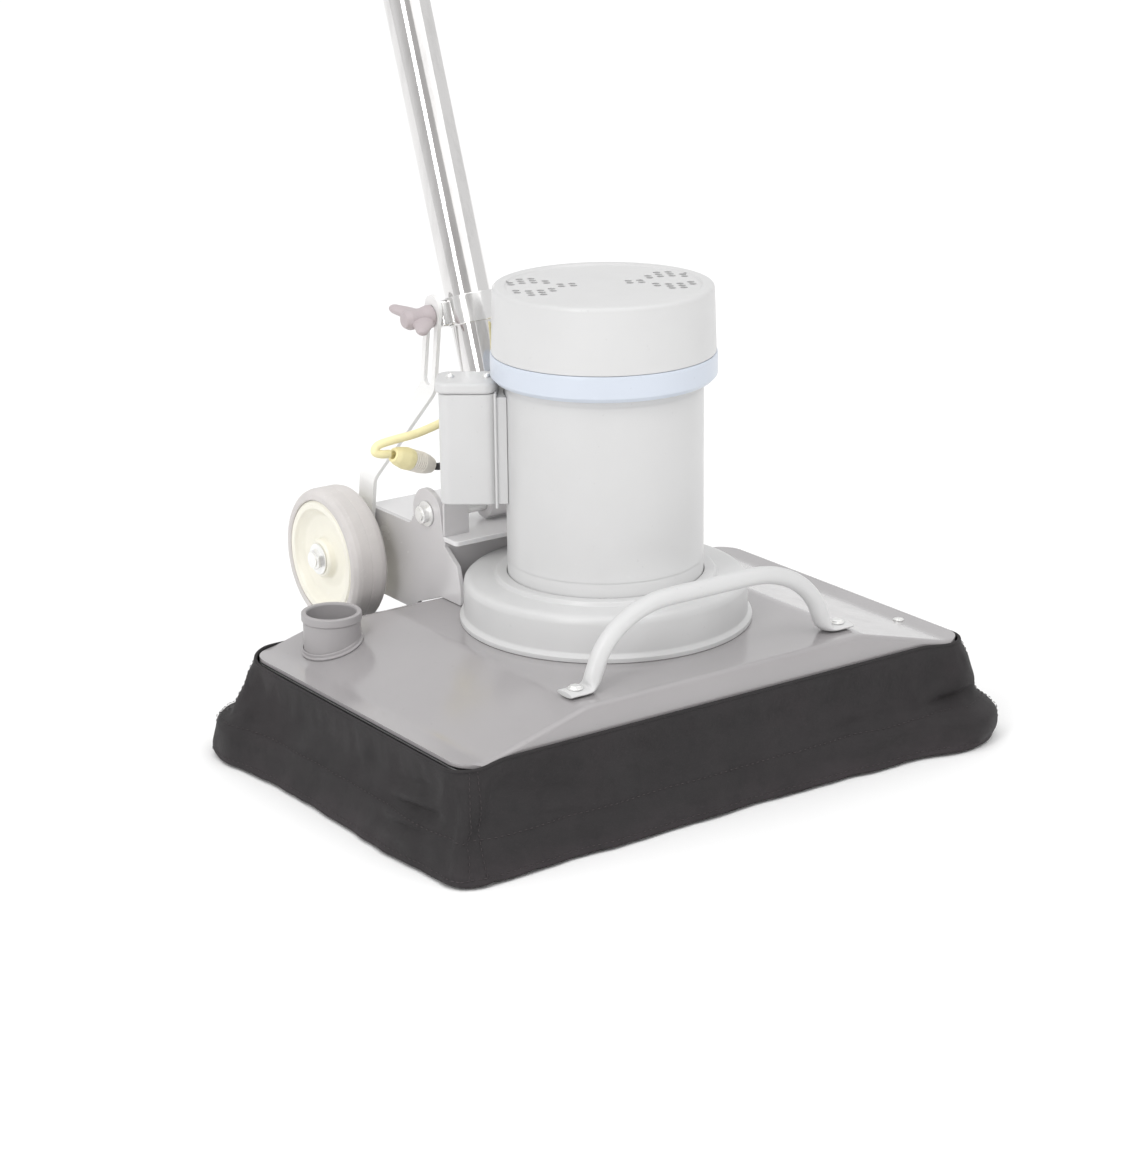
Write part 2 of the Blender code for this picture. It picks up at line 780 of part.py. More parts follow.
def capacitor_box():
    box_axis = empty("capacitor_box_axis", (0, MOTOR_Y, 0), (0, 0, BOX_TURN))
    wall = 0.002
    half_out = (BOX_OUT - BOX_IN) / 2
    middle = (BOX_OUT + BOX_IN) / 2
    tall = BOX_TOP_Z - BOX_FOOT_Z
    box = plate(
        "capacitor_box",
        [rounded_rectangle(half_out, BOX_HALF_W, 0.010, 4)],
        tall,
        "grey_paint",
        at=(middle, 0, BOX_FOOT_Z + tall / 2),
        parent=box_axis,
    )
    hollow = plate(
        "capacitor_box_hollow",
        [rounded_rectangle(half_out - wall, BOX_HALF_W - wall, 0.008, 4)],
        tall,
        None,
        at=(middle, 0, BOX_FOOT_Z + tall / 2 + wall),
        parent=box_axis,
    )
    cut(box, hollow)
    standoff_in = BARREL_R + GAP + 0.0002
    standoff = plate(
        "capacitor_standoff",
        [rounded_rectangle((BOX_IN + 0.001 - standoff_in) / 2, 0.006, 0.001, 2)],
        0.080,
        None,
        at=((BOX_IN + 0.001 + standoff_in) / 2, 0, (BOX_FOOT_Z + BOX_TOP_Z) / 2),
        parent=box_axis,
    )
    join(box, standoff)
    rim = 0.0015
    lid = plate(
        "capacitor_lid",
        [rounded_rectangle(half_out + rim, BOX_HALF_W + rim, 0.0115, 4)],
        0.0105,
        "grey_paint",
        at=(middle + rim, 0, BOX_TOP_Z + GAP + 0.00525),
        parent=box_axis,
    )
    rounding = lid.modifiers.new("rounding", "BEVEL")
    rounding.width = 0.003
    rounding.segments = 2
    rounding.limit_method = "ANGLE"
    rounding.angle_limit = math.radians(60)
    turned(
        "start_capacitor",
        [
            (0, BOX_TOP_Z - 0.008),
            (0.005, BOX_TOP_Z - 0.008),
            (0.005, BOX_TOP_Z - 0.014),
            (0.0185, BOX_TOP_Z - 0.016),
            (0.0185, BOX_FOOT_Z + wall + GAP),
            (0, BOX_FOOT_Z + wall + GAP),
        ],
        "black_plastic",
        20,
        at=(middle, 0, 0),
        parent=box_axis,
    )


def leads():
    """The lead from the handle down to the motor, with its connector and the motor's own tail."""
    along = (PLUG_FAR - PLUG_NEAR).normalized()
    length = (PLUG_FAR - PLUG_NEAR).length
    turned(
        "lead_plug",
        [
            (0, length),
            (0.0070, length),
            (0.0090, length - 0.006),
            (0.0105, length - 0.020),
            (0.0105, 0.016),
            (0.0080, 0.006),
            (0.0060, 0),
            (0, 0),
        ],
        "knob_plastic",
        18,
        at=PLUG_NEAR,
        turn=along.to_track_quat("Z", "Y").to_euler(),
    )
    lead(
        "handle_lead",
        [
            (0.0150, 0.1915, 0.3700),
            (0.0140, 0.1780, 0.3560),
            (0.0040, 0.1560, 0.3350),
            (-0.0200, 0.1480, 0.3180),
            (-0.0480, 0.1470, 0.3040),
            (-0.0760, 0.1520, 0.2930),
            (-0.1040, 0.1580, 0.2840),
            (-0.1280, 0.1630, 0.2800),
            (-0.1440, 0.1650, 0.2770),
            (-0.1480, 0.1645, 0.2715),
            (-0.1420, 0.1630, 0.2685),
            PLUG_NEAR - 0.0045 * along,
        ],
        0.0040,
        "yellow_lead",
    )
    lead(
        "motor_lead",
        [
            PLUG_FAR + 0.0045 * along,
            (-0.0740, 0.1690, 0.2440),
            (-0.0620, 0.1620, 0.2470),
            (-0.0600, 0.1480, 0.2560),
            (-0.0680, 0.1330, 0.2650),
            (-0.0740, 0.1240, 0.2690),
            (-0.0800, 0.1120, 0.2715),
            (-0.0873, 0.1022, 0.2730),
        ],
        0.0035,
        "black_rubber",
    )


# ---------------------------------------------------------------- rear bracket and wheels

def bracket_side(name, sx, finish_name):
    low = PLATEAU_Z + 2 * GAP
    rear_low = REAR_EDGE_Z + 2 * GAP
    outline = [
        (0.1045, low),
        (0.1045, 0.142),
        (0.1120, 0.162),
        (0.1330, 0.177),
        *arc(PIVOT_Y, PIVOT_Z, EAR_R, 185, -15, 12),
        (0.190, BRACKET_TOP_Z + 0.004),
        (0.196, BRACKET_TOP_Z),
        (0.2770, BRACKET_TOP_Z),
        (0.2860, 0.1790),
        *arc(AXLE_Y, AXLE_Z, 0.030, 38, -78, 8),
        (0.2475, 0.1003),
        (0.1985, 0.1000),
        (DECK_Y + 0.0045, 0.1010),
        (DECK_Y + 0.0010, rear_low),
        (REAR_BREAK_Y, low),
    ]
    holes = [circle(PIVOT_Y, PIVOT_Z, 0.0064, 16), circle(AXLE_Y, AXLE_Z, AXLE_R + GAP, 16)]
    middle = sx * (BRACKET_X - BRACKET_WALL / 2)
    return plate(
        name, [outline, *holes], BRACKET_WALL, finish_name, at=(middle, 0, 0), turn=FACING_X
    )


def axle_bracket():
    bracket = bracket_side("axle_bracket", -1, "bracket_paint")
    other = bracket_side("bracket_right_side", 1, None)
    reach = BRACKET_X - 0.001
    roof = between(
        "bracket_roof",
        (-reach, 0.1130, BRACKET_TOP_Z - 0.0052),
        (reach, 0.2740, BRACKET_TOP_Z - 0.0002),
        None,
    )
    foot = between(
        "bracket_foot",
        (-reach, 0.1020, PLATEAU_Z + 2 * GAP),
        (reach, 0.1380, PLATEAU_Z + 2 * GAP + 0.005),
        None,
    )
    front = between(
        "bracket_front",
        (-reach, 0.1330, PLATEAU_Z + 2 * GAP),
        (reach, 0.1360, BRACKET_TOP_Z - 0.002),
        None,
    )
    join(bracket, other, roof, foot, front)
    for name, sx in (("left", -1), ("right", 1)):
        inner, outer = sx * 0.066, sx * reach
        flange = between(
            "bracket_flange_" + name,
            (min(inner, outer), 0.1330, BRACKET_TOP_Z - 0.002),
            (max(inner, outer), 0.1360, 0.2200),
            None,
        )
        join(bracket, flange)
    foot_trim = block(
        "bracket_foot_trim",
        (0.4, 0.05, 0.02),
        None,
        at=(0, 0.0785, PLATEAU_Z + 0.006),
    )
    base_clear = turned(
        "bracket_base_clearance",
        rod(BASE_R + 0.0046, 0.10, 0.1700),
        None,
        48,
        at=(0, MOTOR_Y, 0),
    )
    cut(bracket, foot_trim, base_clear)


def axles():
    turned(
        "wheel_axle",
        rod(AXLE_R, -0.1600, 0.1600),
        "zinc",
        20,
        at=(0, AXLE_Y, AXLE_Z),
        turn=ALONG_X,
    )
    for name, sx in (("left", -1), ("right", 1)):
        turned(
            "axle_nut_" + name,
            [
                (0.0060, 0.0100),
                (0.0105, 0.0080),
                (0.0105, 0.0022),
                (0.0150, 0.0020),
                (0.0150, 0.0000),
                (AXLE_R + GAP, 0.0000),
                (AXLE_R + GAP, 0.0085),
            ],
            "zinc",
            12,
            at=(sx * (WHEEL_OUT_X + 0.0004), AXLE_Y, AXLE_Z),
            turn=(0, sx * QUARTER, 0),
        )
    pivot = turned(
        "pivot_bolt", rod(0.0060, -0.1040, 0.1040), "zinc", 12, at=(0, PIVOT_Y, PIVOT_Z), turn=ALONG_X
    )
    for name, sx in (("left", -1), ("right", 1)):
        spacer = turned(
            "pivot_spacer_" + name,
            rod(0.0078, SLEEVE_X + GAP, BRACKET_X - BRACKET_WALL - GAP),
            None,
            12,
            at=(0, PIVOT_Y, PIVOT_Z),
            turn=(0, sx * QUARTER, 0),
        )
        join(pivot, spacer)
        head = turned(
            "pivot_head_" + name,
            [(0, 0.0085), (0.0085, 0.0075), (0.0085, 0.0018), (0.0120, 0.0016), (0.0120, 0), (0, 0)],
            None,
            12,
            at=(sx * (BRACKET_X + GAP), PIVOT_Y, PIVOT_Z),
            turn=(0, sx * QUARTER, 0),
        )
        join(pivot, head)


def wheel(side, sx):
    """Wheel profiles run from the outer face (local +Z) to the inner one."""
    axis = empty("wheel_axis_" + side, (sx * WHEEL_OUT_X, AXLE_Y, AXLE_Z), (0, sx * QUARTER, 0))
    edge = 0.008
    turned(
        "tyre_" + side,
        [
            (HUB_R + 0.0004, -0.0015),
            *arc(WHEEL_R - edge, -0.0015 - edge, edge, 80, 5, 3),
            *arc(WHEEL_R - edge, -WHEEL_W + 0.0015 + edge, edge, -5, -80, 3),
            (HUB_R + 0.0004, -WHEEL_W + 0.0015),
        ],
        "tyre_rubber",
        30,
        parent=axis,
    )
    turned(
        "hub_" + side,
        [
            (0.0170, 0.0),
            (0.0190, -0.0020),
            (0.0200, -0.0080),
            (0.0400, -0.0090),
            (0.0425, -0.0040),
            (HUB_R, -0.0025),
            (HUB_R, -WHEEL_W + 0.0025),
            (0.0425, -WHEEL_W + 0.0040),
            (0.0400, -WHEEL_W + 0.0090),
            (0.0200, -WHEEL_W + 0.0080),
            (0.0170, -WHEEL_W),
            (AXLE_R + GAP, -WHEEL_W),
            (AXLE_R + GAP, 0.0),
        ],
        "cream_plastic",
        26,
        parent=axis,
    )


# ---------------------------------------------------------------- tilt strap and handle

def tilt_strap():
    axis = empty("strap_axis", (0, AXLE_Y, AXLE_Z), (STRAP_LEAN, 0, 0))
    half = STRAP_T / 2
    low, high, foot = STRAP_LOW_BEND, STRAP_HIGH_BEND, -0.016
    lean = math.atan2(STRAP_IN_X - STRAP_OUT_X, high - low)
    shift = half * math.tan(lean / 2)
    out_x, in_x = STRAP_OUT_X, STRAP_IN_X
    band_outline = [
        (out_x - half, foot),
        (out_x + half, foot),
        (out_x + half, low - shift),
        (in_x + half, high - shift),
        (in_x + half, STRAP_TOP),
        (in_x - half, STRAP_TOP),
        (in_x - half, high + shift),
        (out_x - half, low + shift),
    ]
    strap = plate(
        "tilt_strap", [band_outline], STRAP_W, "zinc", turn=FACING_Y, parent=axis
    )
    r = STRAP_W / 2
    stadium = arc(0, STRAP_TOP - r - GAP, r - GAP, 0, 180, 8) + arc(0, 0, r - GAP, 180, 360, 8)
    slot = arc(0, SLOT_HIGH, SLOT_R, 0, 180, 6) + arc(0, SLOT_LOW, SLOT_R, 180, 360, 6)
    holes = [slot, circle(0, 0, AXLE_R + 0.0004, 20)]
    outline_prism = plate(
        "strap_outline",
        [stadium, *holes],
        0.16,
        None,
        at=((out_x + in_x) / 2, 0, 0),
        turn=FACING_X,
        parent=axis,
    )
    boolean(strap, outline_prism, "INTERSECT")


def handle(axis):
    turned(
        "handle_tube",
        ring(TUBE_R, TUBE_R - TUBE_WALL, SLEEVE_R + GAP, TUBE_TOP),
        "chrome",
        24,
        parent=axis,
    )
    turned(
        "pivot_sleeve",
        ring(SLEEVE_R, 0.0066, -SLEEVE_X, SLEEVE_X),
        "bracket_paint",
        20,
        turn=ALONG_X,
        parent=axis,
    )
    collar = turned(
        "tilt_collar",
        ring(TUBE_R + 0.0025, TUBE_R + GAP, CLAMP_UP - 0.014, CLAMP_UP + 0.014),
        "zinc",
        24,
        parent=axis,
    )
    lug = block(
        "collar_lug",
        (0.0190, 0.0230, 0.0260),
        None,
        0.004,
        at=(-0.0240, CLAMP_REAR - 0.0015, CLAMP_UP),
        parent=axis,
    )
    tube_clear = turned(
        "collar_bore", rod(TUBE_R + GAP, CLAMP_UP - 0.03, CLAMP_UP + 0.03), None, 24, parent=axis
    )
    stud_hole = turned(
        "collar_stud_hole",
        rod(STUD_R + GAP, -0.0400, -0.0160),
        None,
        12,
        at=(0, CLAMP_REAR, CLAMP_UP),
        turn=ALONG_X,
        parent=axis,
    )
    join(collar, lug)
    cut(collar, tube_clear, stud_hole)
    for name, up in (("lower", HOOK_LOW), ("upper", HOOK_HIGH)):
        hook = [
            (0, TUBE_R + 0.0008, up),
            (0, TUBE_R + 0.018, up),
            *((0, TUBE_R + 0.018 + y, up + z) for y, z in arc(0, 0.014, 0.014, -60, 0, 3)),
            (0, TUBE_R + 0.032, up + (0.038 if name == "lower" else 0.034)),
        ]
        if name == "lower":
            hook = [(x, y, 2 * up - z) for x, y, z in hook]
        arm = bent_bar("cord_hook_" + name, hook, 0.0045, "black_plastic", 2, parent=axis)
        band = turned(
            "hook_band_" + name,
            ring(TUBE_R + 0.0035, TUBE_R + GAP, up - 0.008, up + 0.008),
            None,
            24,
            parent=axis,
        )
        join(arm, band)


def switch_housing(axis):
    wall = 0.003
    low = (-HOUSING_X, HOUSING_FRONT, HOUSING_FOOT)
    high = (HOUSING_X, HOUSING_REAR, HOUSING_TOP)
    housing = between("switch_housing", low, high, "black_plastic", 0.006, axis)
    hollow = between(
        "housing_hollow",
        (-HOUSING_X + wall, HOUSING_FRONT + wall, HOUSING_FOOT + wall),
        (HOUSING_X - wall, HOUSING_REAR + 0.01, HOUSING_TOP - wall),
        None,
        parent=axis,
    )
    tube_hole = turned(
        "housing_tube_hole",
        rod(TUBE_R + GAP, HOUSING_FOOT - 0.01, HOUSING_FOOT + 0.01),
        None,
        24,
        parent=axis,
    )
    bar_hole = turned(
        "housing_bar_hole",
        rod(BAR_R + GAP, -0.1, 0.1),
        None,
        16,
        at=(0, 0, BAR_UP),
        turn=ALONG_X,
        parent=axis,
    )
    shaft_hole = turned(
        "housing_shaft_hole",
        rod(0.0045, -0.1, 0.1),
        None,
        12,
        at=(0, TRIGGER_REAR, TRIGGER_UP),
        turn=ALONG_X,
        parent=axis,
    )
    gland_hole = turned(
        "housing_gland_hole",
        rod(0.0080, -0.02, 0.02),
        None,
        16,
        at=(GLAND_X, GLAND_REAR, HOUSING_FOOT),
        parent=axis,
    )
    cut(housing, hollow, tube_hole, bar_hole, shaft_hole, gland_hole)
    cover = between(
        "housing_cover",
        (-HOUSING_X + 0.002, HOUSING_REAR + GAP, HOUSING_FOOT + 0.002),
        (HOUSING_X - 0.002, HOUSING_REAR + 0.0045, HOUSING_TOP - 0.002),
        "black_plastic",
        0.0015,
        axis,
    )
    button_hole = turned(
        "cover_button_hole",
        rod(0.0085, 0.03, 0.06),
        None,
        16,
        at=(0, 0, BUTTON_UP),
        turn=(-QUARTER, 0, 0),
        parent=axis,
    )
    cut(cover, button_hole)
    between(
        "power_switch",
        (-0.022, -0.020, 0.9225),
        (0.022, 0.008, BAR_UP - BAR_R - 0.002),
        "black_plastic",
        0.001,
        axis,
    )
    turned(
        "cord_gland",
        [
            (0.0075, 0.0045),
            (0.0075, -GAP),
            (0.0110, -GAP),
            (0.0110, -0.0060),
            (0.0080, -0.0150),
            (0.0048, -0.0150),
            (0.0048, 0.0045),
        ],
        "black_plastic",
        16,
        at=(GLAND_X, GLAND_REAR, HOUSING_FOOT),
        parent=axis,
    )


def handlebar(axis):
    half = [(0.070, 0.0), (0.084, 0.0015), (0.098, 0.0065), (0.112, 0.0130), (0.212, 0.0620)]
    path = [(-x, y, BAR_UP) for x, y in reversed(half)] + [(x, y, BAR_UP) for x, y in half]
    bent_bar("handlebar", path, BAR_R, "steel", 3, parent=axis)
    sweep = math.atan2(half[4][1] - half[3][1], half[4][0] - half[3][0])
    length = 0.1125
    for name, sx in (("left", -1), ("right", 1)):
        turned(
            "grip_" + name,
            [
                (0, length + 0.003),
                (0.0130, length + 0.003),
                (0.0165, length - 0.001),
                (0.0160, 0.006),
                (0.0185, 0.003),
                (0.0185, 0.000),
                (BAR_R + GAP, 0.000),
                (BAR_R + GAP, length),
                (0, length),
            ],
            "black_rubber",
            16,
            at=(sx * half[3][0], half[3][1], BAR_UP),
            turn=(0, QUARTER, sweep if sx > 0 else math.pi - sweep),
            parent=axis,
        )


def triggers(axis):
    """Both squeeze levers on one cross shaft; axis is an empty on the shaft."""
    bar = turned(
        "trigger_bar", rod(0.0040, -0.0860, 0.0860), "red_plastic", 12, turn=ALONG_X, parent=axis
    )
    for name, sx in (("left", -1), ("right", 1)):
        outline = [
            (0.0670, -0.007),
            (0.0860, -0.007),
            (0.0980, 0.0130),
            (0.1150, 0.0330),
            (0.2000, 0.0750),
            (0.1940, 0.0900),
            (0.1060, 0.0470),
            (0.0800, 0.0230),
            (0.0670, 0.0070),
        ]
        blade = plate(
            "trigger_blade_" + name,
            [[(sx * x, y) for x, y in outline]],
            0.0046,
            None,
            parent=axis,
        )
        join(bar, blade)


def lock_button(axis):
    turned(
        "lock_button",
        [
            (0, 0.0090),
            (0.0060, 0.0090),
            (0.0078, 0.0075),
            (0.0078, -0.0046),
            (0.0110, -0.0048),
            (0.0110, -0.0068),
            (0, -0.0068),
        ],
        "red_plastic",
        16,
        turn=(-QUARTER, 0, 0),
        parent=axis,
    )


def tilt_knob(axis):
    """Clamp knob on its stud; the knob's own Z points outwards to the left."""
    stud_end, face = -0.0230, -0.0390
    knob = turned(
        "tilt_knob",
        [
            (0, -face + 0.0310),
            (0.0060, -face + 0.0300),
            (0.0085, -face + 0.0240),
            (0.0085, -face + 0.0110),
            (0.0110, -face + 0.0040),
            (0.0110, -face),
            (STUD_R, -face),
            (STUD_R, -stud_end),
            (0, -stud_end),
        ],
        "knob_plastic",
        16,
        turn=(0, -QUARTER, 0),
        parent=axis,
    )
    half = [
        (0.0080, -0.0055),
        (0.0160, -0.0070),
        *arc(0.0225, 0.0, 0.0072, -75, 75, 4),
        (0.0160, 0.0070),
        (0.0080, 0.0055),
    ]
    tilt = Matrix.Rotation(WING_TILT, 2)
    wing_outline = [tilt @ Vector(p) for p in half] + [-(tilt @ Vector(p)) for p in half]
    wings = plate(
        "knob_wings",
        [wing_outline],
        0.011,
        None,
        at=(face - 0.0185, 0, 0),
        turn=FACING_X,
        parent=axis,
    )
    join(knob, wings)


def build():
    deck_plate()
    dust_skirt()
    skirt_frame()
    vacuum_port()
    grab_handle()
    motor_base()
    motor_shell()
    motor_inside()
    isolators()
    capacitor_box()
    leads()
    axle_bracket()
    axles()
    rotor(empty("rotor_axis", (0, MOTOR_Y, 0)))
    orbit_drive(empty("orbit_axis", (ECCENTRIC, MOTOR_Y, 0)))
    for side, sx in (("left", -1), ("right", 1)):
        wheel(side, sx)
    tilt_strap()
    handle_axis = empty("handle_axis", (0, PIVOT_Y, PIVOT_Z), (-HANDLE_LEAN, 0, 0))
    handle(handle_axis)
    switch_housing(handle_axis)
    handlebar(handle_axis)
    triggers(empty("trigger_axis", (0, TRIGGER_REAR, TRIGGER_UP), parent=handle_axis))
    lock_button(empty("button_axis", (0, HOUSING_REAR + 0.0045, BUTTON_UP), parent=handle_axis))
    tilt_knob(empty("knob_axis", (0, CLAMP_REAR, CLAMP_UP), parent=handle_axis))


build()
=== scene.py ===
"""Looks of a walk-behind orbital floor machine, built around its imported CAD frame.

X runs across the machine, -Y is its front, +Y its rear and +Z is up. Lengths are in metres.
Most visible CAD nodes get a finer piece of the same size in their place, and the rest keep their
own shape with rounded edges and a better material.
"""

import math

import bmesh
import bpy
import numpy as np
from mathutils import Matrix, Quaternion, Vector, noise

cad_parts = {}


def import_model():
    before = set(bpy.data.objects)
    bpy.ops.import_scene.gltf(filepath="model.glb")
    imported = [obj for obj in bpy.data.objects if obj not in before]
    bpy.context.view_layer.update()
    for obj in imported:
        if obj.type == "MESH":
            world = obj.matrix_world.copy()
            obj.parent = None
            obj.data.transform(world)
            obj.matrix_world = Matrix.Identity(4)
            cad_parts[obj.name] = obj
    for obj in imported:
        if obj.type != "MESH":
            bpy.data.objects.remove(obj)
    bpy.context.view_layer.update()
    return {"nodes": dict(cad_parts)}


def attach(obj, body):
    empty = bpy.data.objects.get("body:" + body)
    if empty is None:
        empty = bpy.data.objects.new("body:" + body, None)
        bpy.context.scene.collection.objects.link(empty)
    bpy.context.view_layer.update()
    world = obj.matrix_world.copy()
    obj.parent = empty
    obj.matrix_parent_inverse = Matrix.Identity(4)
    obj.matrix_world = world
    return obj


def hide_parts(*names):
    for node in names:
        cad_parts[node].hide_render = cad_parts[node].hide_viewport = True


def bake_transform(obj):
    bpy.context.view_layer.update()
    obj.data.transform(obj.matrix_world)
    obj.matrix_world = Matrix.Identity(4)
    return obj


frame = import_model()
NODES = frame["nodes"]

# ---------------------------------------------------------------- sizes taken over from the CAD model

MOTOR_AT = Vector((0.0, 0.005, 0.0))
PLATEAU_X, SLOPE_END_X = 0.153, 0.256
REAR_BREAK_Y = 0.140
PLATE = 0.0035
DECK_X, DECK_Y = 0.280, 0.182
DECK_EDGE_Z, PLATEAU_Z, REAR_EDGE_Z = 0.097, 0.1245, 0.1086
APRON_FOOT_Z = 0.0915
DECK_CORNER = 0.022
PORT_AT = Vector((-0.221, 0.130, 0.0))
BARREL_R, BASE_R, BAND_R, COVER_R = 0.0905, 0.1315, 0.1030, 0.1012
GRAB_Y, GRAB_R = -0.153, 0.0080
AXLE_Y, AXLE_Z = 0.270, 0.1415
PIVOT = Vector((0.0, 0.1625, 0.2025))
HANDLE_LEAN = math.radians(19.5)
TUBE_R = 0.0222
QUARTER = math.pi / 2
STRAP_LEAN = math.radians(8.634)
HANDLE = Matrix.Translation(PIVOT) @ Matrix.Rotation(-HANDLE_LEAN, 4, "X")
CLAMP_AT = (0.0118, 0.1840)
BAR_UP = 0.947
BRACKET_X, BRACKET_WALL, ROOF_Z = 0.0945, 0.005, 0.1862

# ---------------------------------------------------------------- camera, floor and lights

IMAGE_W, IMAGE_H = 1124, 1156
FOCAL_PX = 2898.8
CAMERA_AT = Vector((-1.4862, -2.0686, 0.9883))
CAMERA_AZ, CAMERA_EL, CAMERA_ROLL = math.radians(-34.724), math.radians(17.966), math.radians(-0.744)
VIEWER_SIDE = (-0.62, -0.75, 0.0)
FLOOR_RADIUS, FLOOR_Z = 14.0, -0.0004


def add_to_scene(name, data):
    made = bpy.data.objects.new(name, data)
    bpy.context.scene.collection.objects.link(made)
    return made


def camera():
    data = bpy.data.cameras.new("camera")
    data.sensor_width = 36.0
    data.lens = FOCAL_PX * data.sensor_width / max(IMAGE_W, IMAGE_H)
    data.clip_start, data.clip_end = 0.05, 60
    made = add_to_scene("camera", data)
    back = Vector((
        math.sin(CAMERA_AZ) * math.cos(CAMERA_EL),
        -math.cos(CAMERA_AZ) * math.cos(CAMERA_EL),
        math.sin(CAMERA_EL),
    ))
    made.location = CAMERA_AT
    made.rotation_mode = "QUATERNION"
    made.rotation_quaternion = Quaternion(-back, -CAMERA_ROLL) @ (-back).to_track_quat("-Z", "Y")
    bpy.context.scene.camera = made


def lamp(name, kind, direction, energy, at=(0, 0, 0), **settings):
    """A light that points along a direction."""
    data = bpy.data.lights.new(name, kind)
    data.energy = energy
    for setting, value in settings.items():
        setattr(data, setting, value)
    made = add_to_scene(name, data)
    made.location = at
    made.rotation_euler = Vector(direction).to_track_quat("-Z", "Y").to_euler()


def lights():
    """Two wide suns and a strip to the left that gives the round parts a highlight."""
    lamp("key", "SUN", (-0.10, 0.66, -0.74), 0.55, angle=math.radians(60))
    lamp("top", "SUN", (0.05, 0.10, -1.0), 0.64, angle=math.radians(80))
    at = Vector((-2.2, -1.0, 1.6))
    lamp("strip", "AREA", Vector((0, 0, 0.25)) - at, 24, at, shape="RECTANGLE", size=0.7, size_y=2.2)
    bpy.context.scene.view_settings.view_transform = "Standard"


def add_node(tree, kind, output, sockets, **settings):
    """A new node with its sockets set, or linked where they are given another node's output."""
    made = tree.nodes.new(kind)
    for name, value in settings.items():
        setattr(made, name, value)
    for socket, value in sockets.items():
        if isinstance(value, bpy.types.NodeSocket):
            tree.links.new(value, made.inputs[socket])
        else:
            made.inputs[socket].default_value = value
    return made.outputs[output]


def world():
    """A pale room that is darker towards the viewer's side, so that metal has something to reflect."""
    made = bpy.data.worlds.new("studio")
    bpy.context.scene.world = made
    made.use_nodes = True
    tree = made.node_tree
    tree.nodes.clear()
    place = add_node(tree, "ShaderNodeTexCoord", "Generated", {})
    side = add_node(
        tree, "ShaderNodeVectorMath", "Value", {0: place, 1: VIEWER_SIDE}, operation="DOT_PRODUCT"
    )
    ramp = tree.nodes.new("ShaderNodeValToRGB")
    far, near = ramp.color_ramp.elements
    far.position, far.color = 0.30, (1.0, 1.0, 1.0, 1)
    near.position, near.color = 0.95, (0.62, 0.61, 0.605, 1)
    tree.links.new(side, ramp.inputs["Fac"])
    room, backdrop = (
        add_node(tree, "ShaderNodeBackground", "Background", {"Strength": strength, "Color": color})
        for strength, color in ((0.80, ramp.outputs["Color"]), (0.97, (1, 1, 1, 1)))
    )
    seen = add_node(tree, "ShaderNodeLightPath", "Is Camera Ray", {})
    mix = add_node(tree, "ShaderNodeMixShader", "Shader", {0: seen, 1: room, 2: backdrop})
    tree.links.new(mix, tree.nodes.new("ShaderNodeOutputWorld").inputs["Surface"])


# ---------------------------------------------------------------- materials

def srgb(red, green, blue):
    """A linear colour from the 0 to 255 values that it has on a screen."""
    return tuple(
        c / 12.92 if c <= 0.04045 else ((c + 0.055) / 1.055) ** 2.4
        for c in (red / 255, green / 255, blue / 255)
    )


class Look:
    """A Principled material with short ways to add procedural detail to it."""

    def __init__(self, name, color, roughness, metallic=0.0, **sockets):
        self.material = bpy.data.materials.new(name)
        self.material.use_nodes = True
        self.tree = self.material.node_tree
        self.shader = self.tree.nodes["Principled BSDF"]
        self.place = self.add("TexCoord", "Object", {})
        self.color, self.normal = color, None
        values = {"Base_Color": (*color, 1), "Roughness": roughness, "Metallic": metallic, **sockets}
        for socket, value in values.items():
            self.shader.inputs[socket.replace("_", " ")].default_value = value
        self.material.diffuse_color = (*color, 1)

    def add(self, kind, output, sockets, **settings):
        return add_node(self.tree, "ShaderNode" + kind, output, sockets, **settings)

    def noise(self, scale, detail=2.0, rough=0.5, stretch=(1, 1, 1), distortion=0.0):
        at = self.add("Mapping", "Vector", {"Scale": stretch, "Vector": self.place})
        return self.add("TexNoise", "Fac", {
            "Scale": scale, "Detail": detail, "Roughness": rough, "Distortion": distortion, "Vector": at,
        })

    def wave(self, scale, direction="X", distortion=0.0):
        sockets = {"Scale": scale, "Distortion": distortion, "Vector": self.place}
        return self.add("TexWave", "Fac", sockets, bands_direction=direction)

    def height_above(self, low, high):
        """0 at z = low to 1 at z = high."""
        return self.between(self.add("SeparateXYZ", "Z", {"Vector": self.place}), low, high)

    def math(self, operation, a, b):
        return self.add("Math", "Value", {0: a, 1: b}, operation=operation)

    def between(self, value, low, high, to_low=0.0, to_high=1.0):
        return self.add("MapRange", "Result", {
            "From Min": low, "From Max": high, "To Min": to_low, "To Max": to_high, "Value": value,
        })

    def blend_color(self, share, other):
        """Moves the base colour towards another where share is 1."""
        base = self.shader.inputs["Base Color"]
        before = base.links[0].from_socket if base.is_linked else (*self.color, 1)
        mixed = self.add("Mix", 2, {0: share, 6: before, 7: (*other, 1)}, data_type="RGBA")
        self.tree.links.new(mixed, base)

    def shade(self, value, amount):
        """Darkens the colour by up to amount where value is 1."""
        self.blend_color(value, tuple(c * (1 - amount) for c in self.color))

    def roughness(self, value, low, high):
        rough = self.between(value, 0.25, 0.75, low, high)
        self.tree.links.new(rough, self.shader.inputs["Roughness"])

    def bump(self, value, depth):
        """Raises the surface by up to depth metres where value is 1."""
        sockets = {"Strength": 1.0, "Distance": depth, "Height": value}
        if self.normal:
            sockets["Normal"] = self.normal
        self.normal = self.add("Bump", "Normal", sockets)
        self.tree.links.new(self.normal, self.shader.inputs["Normal"])


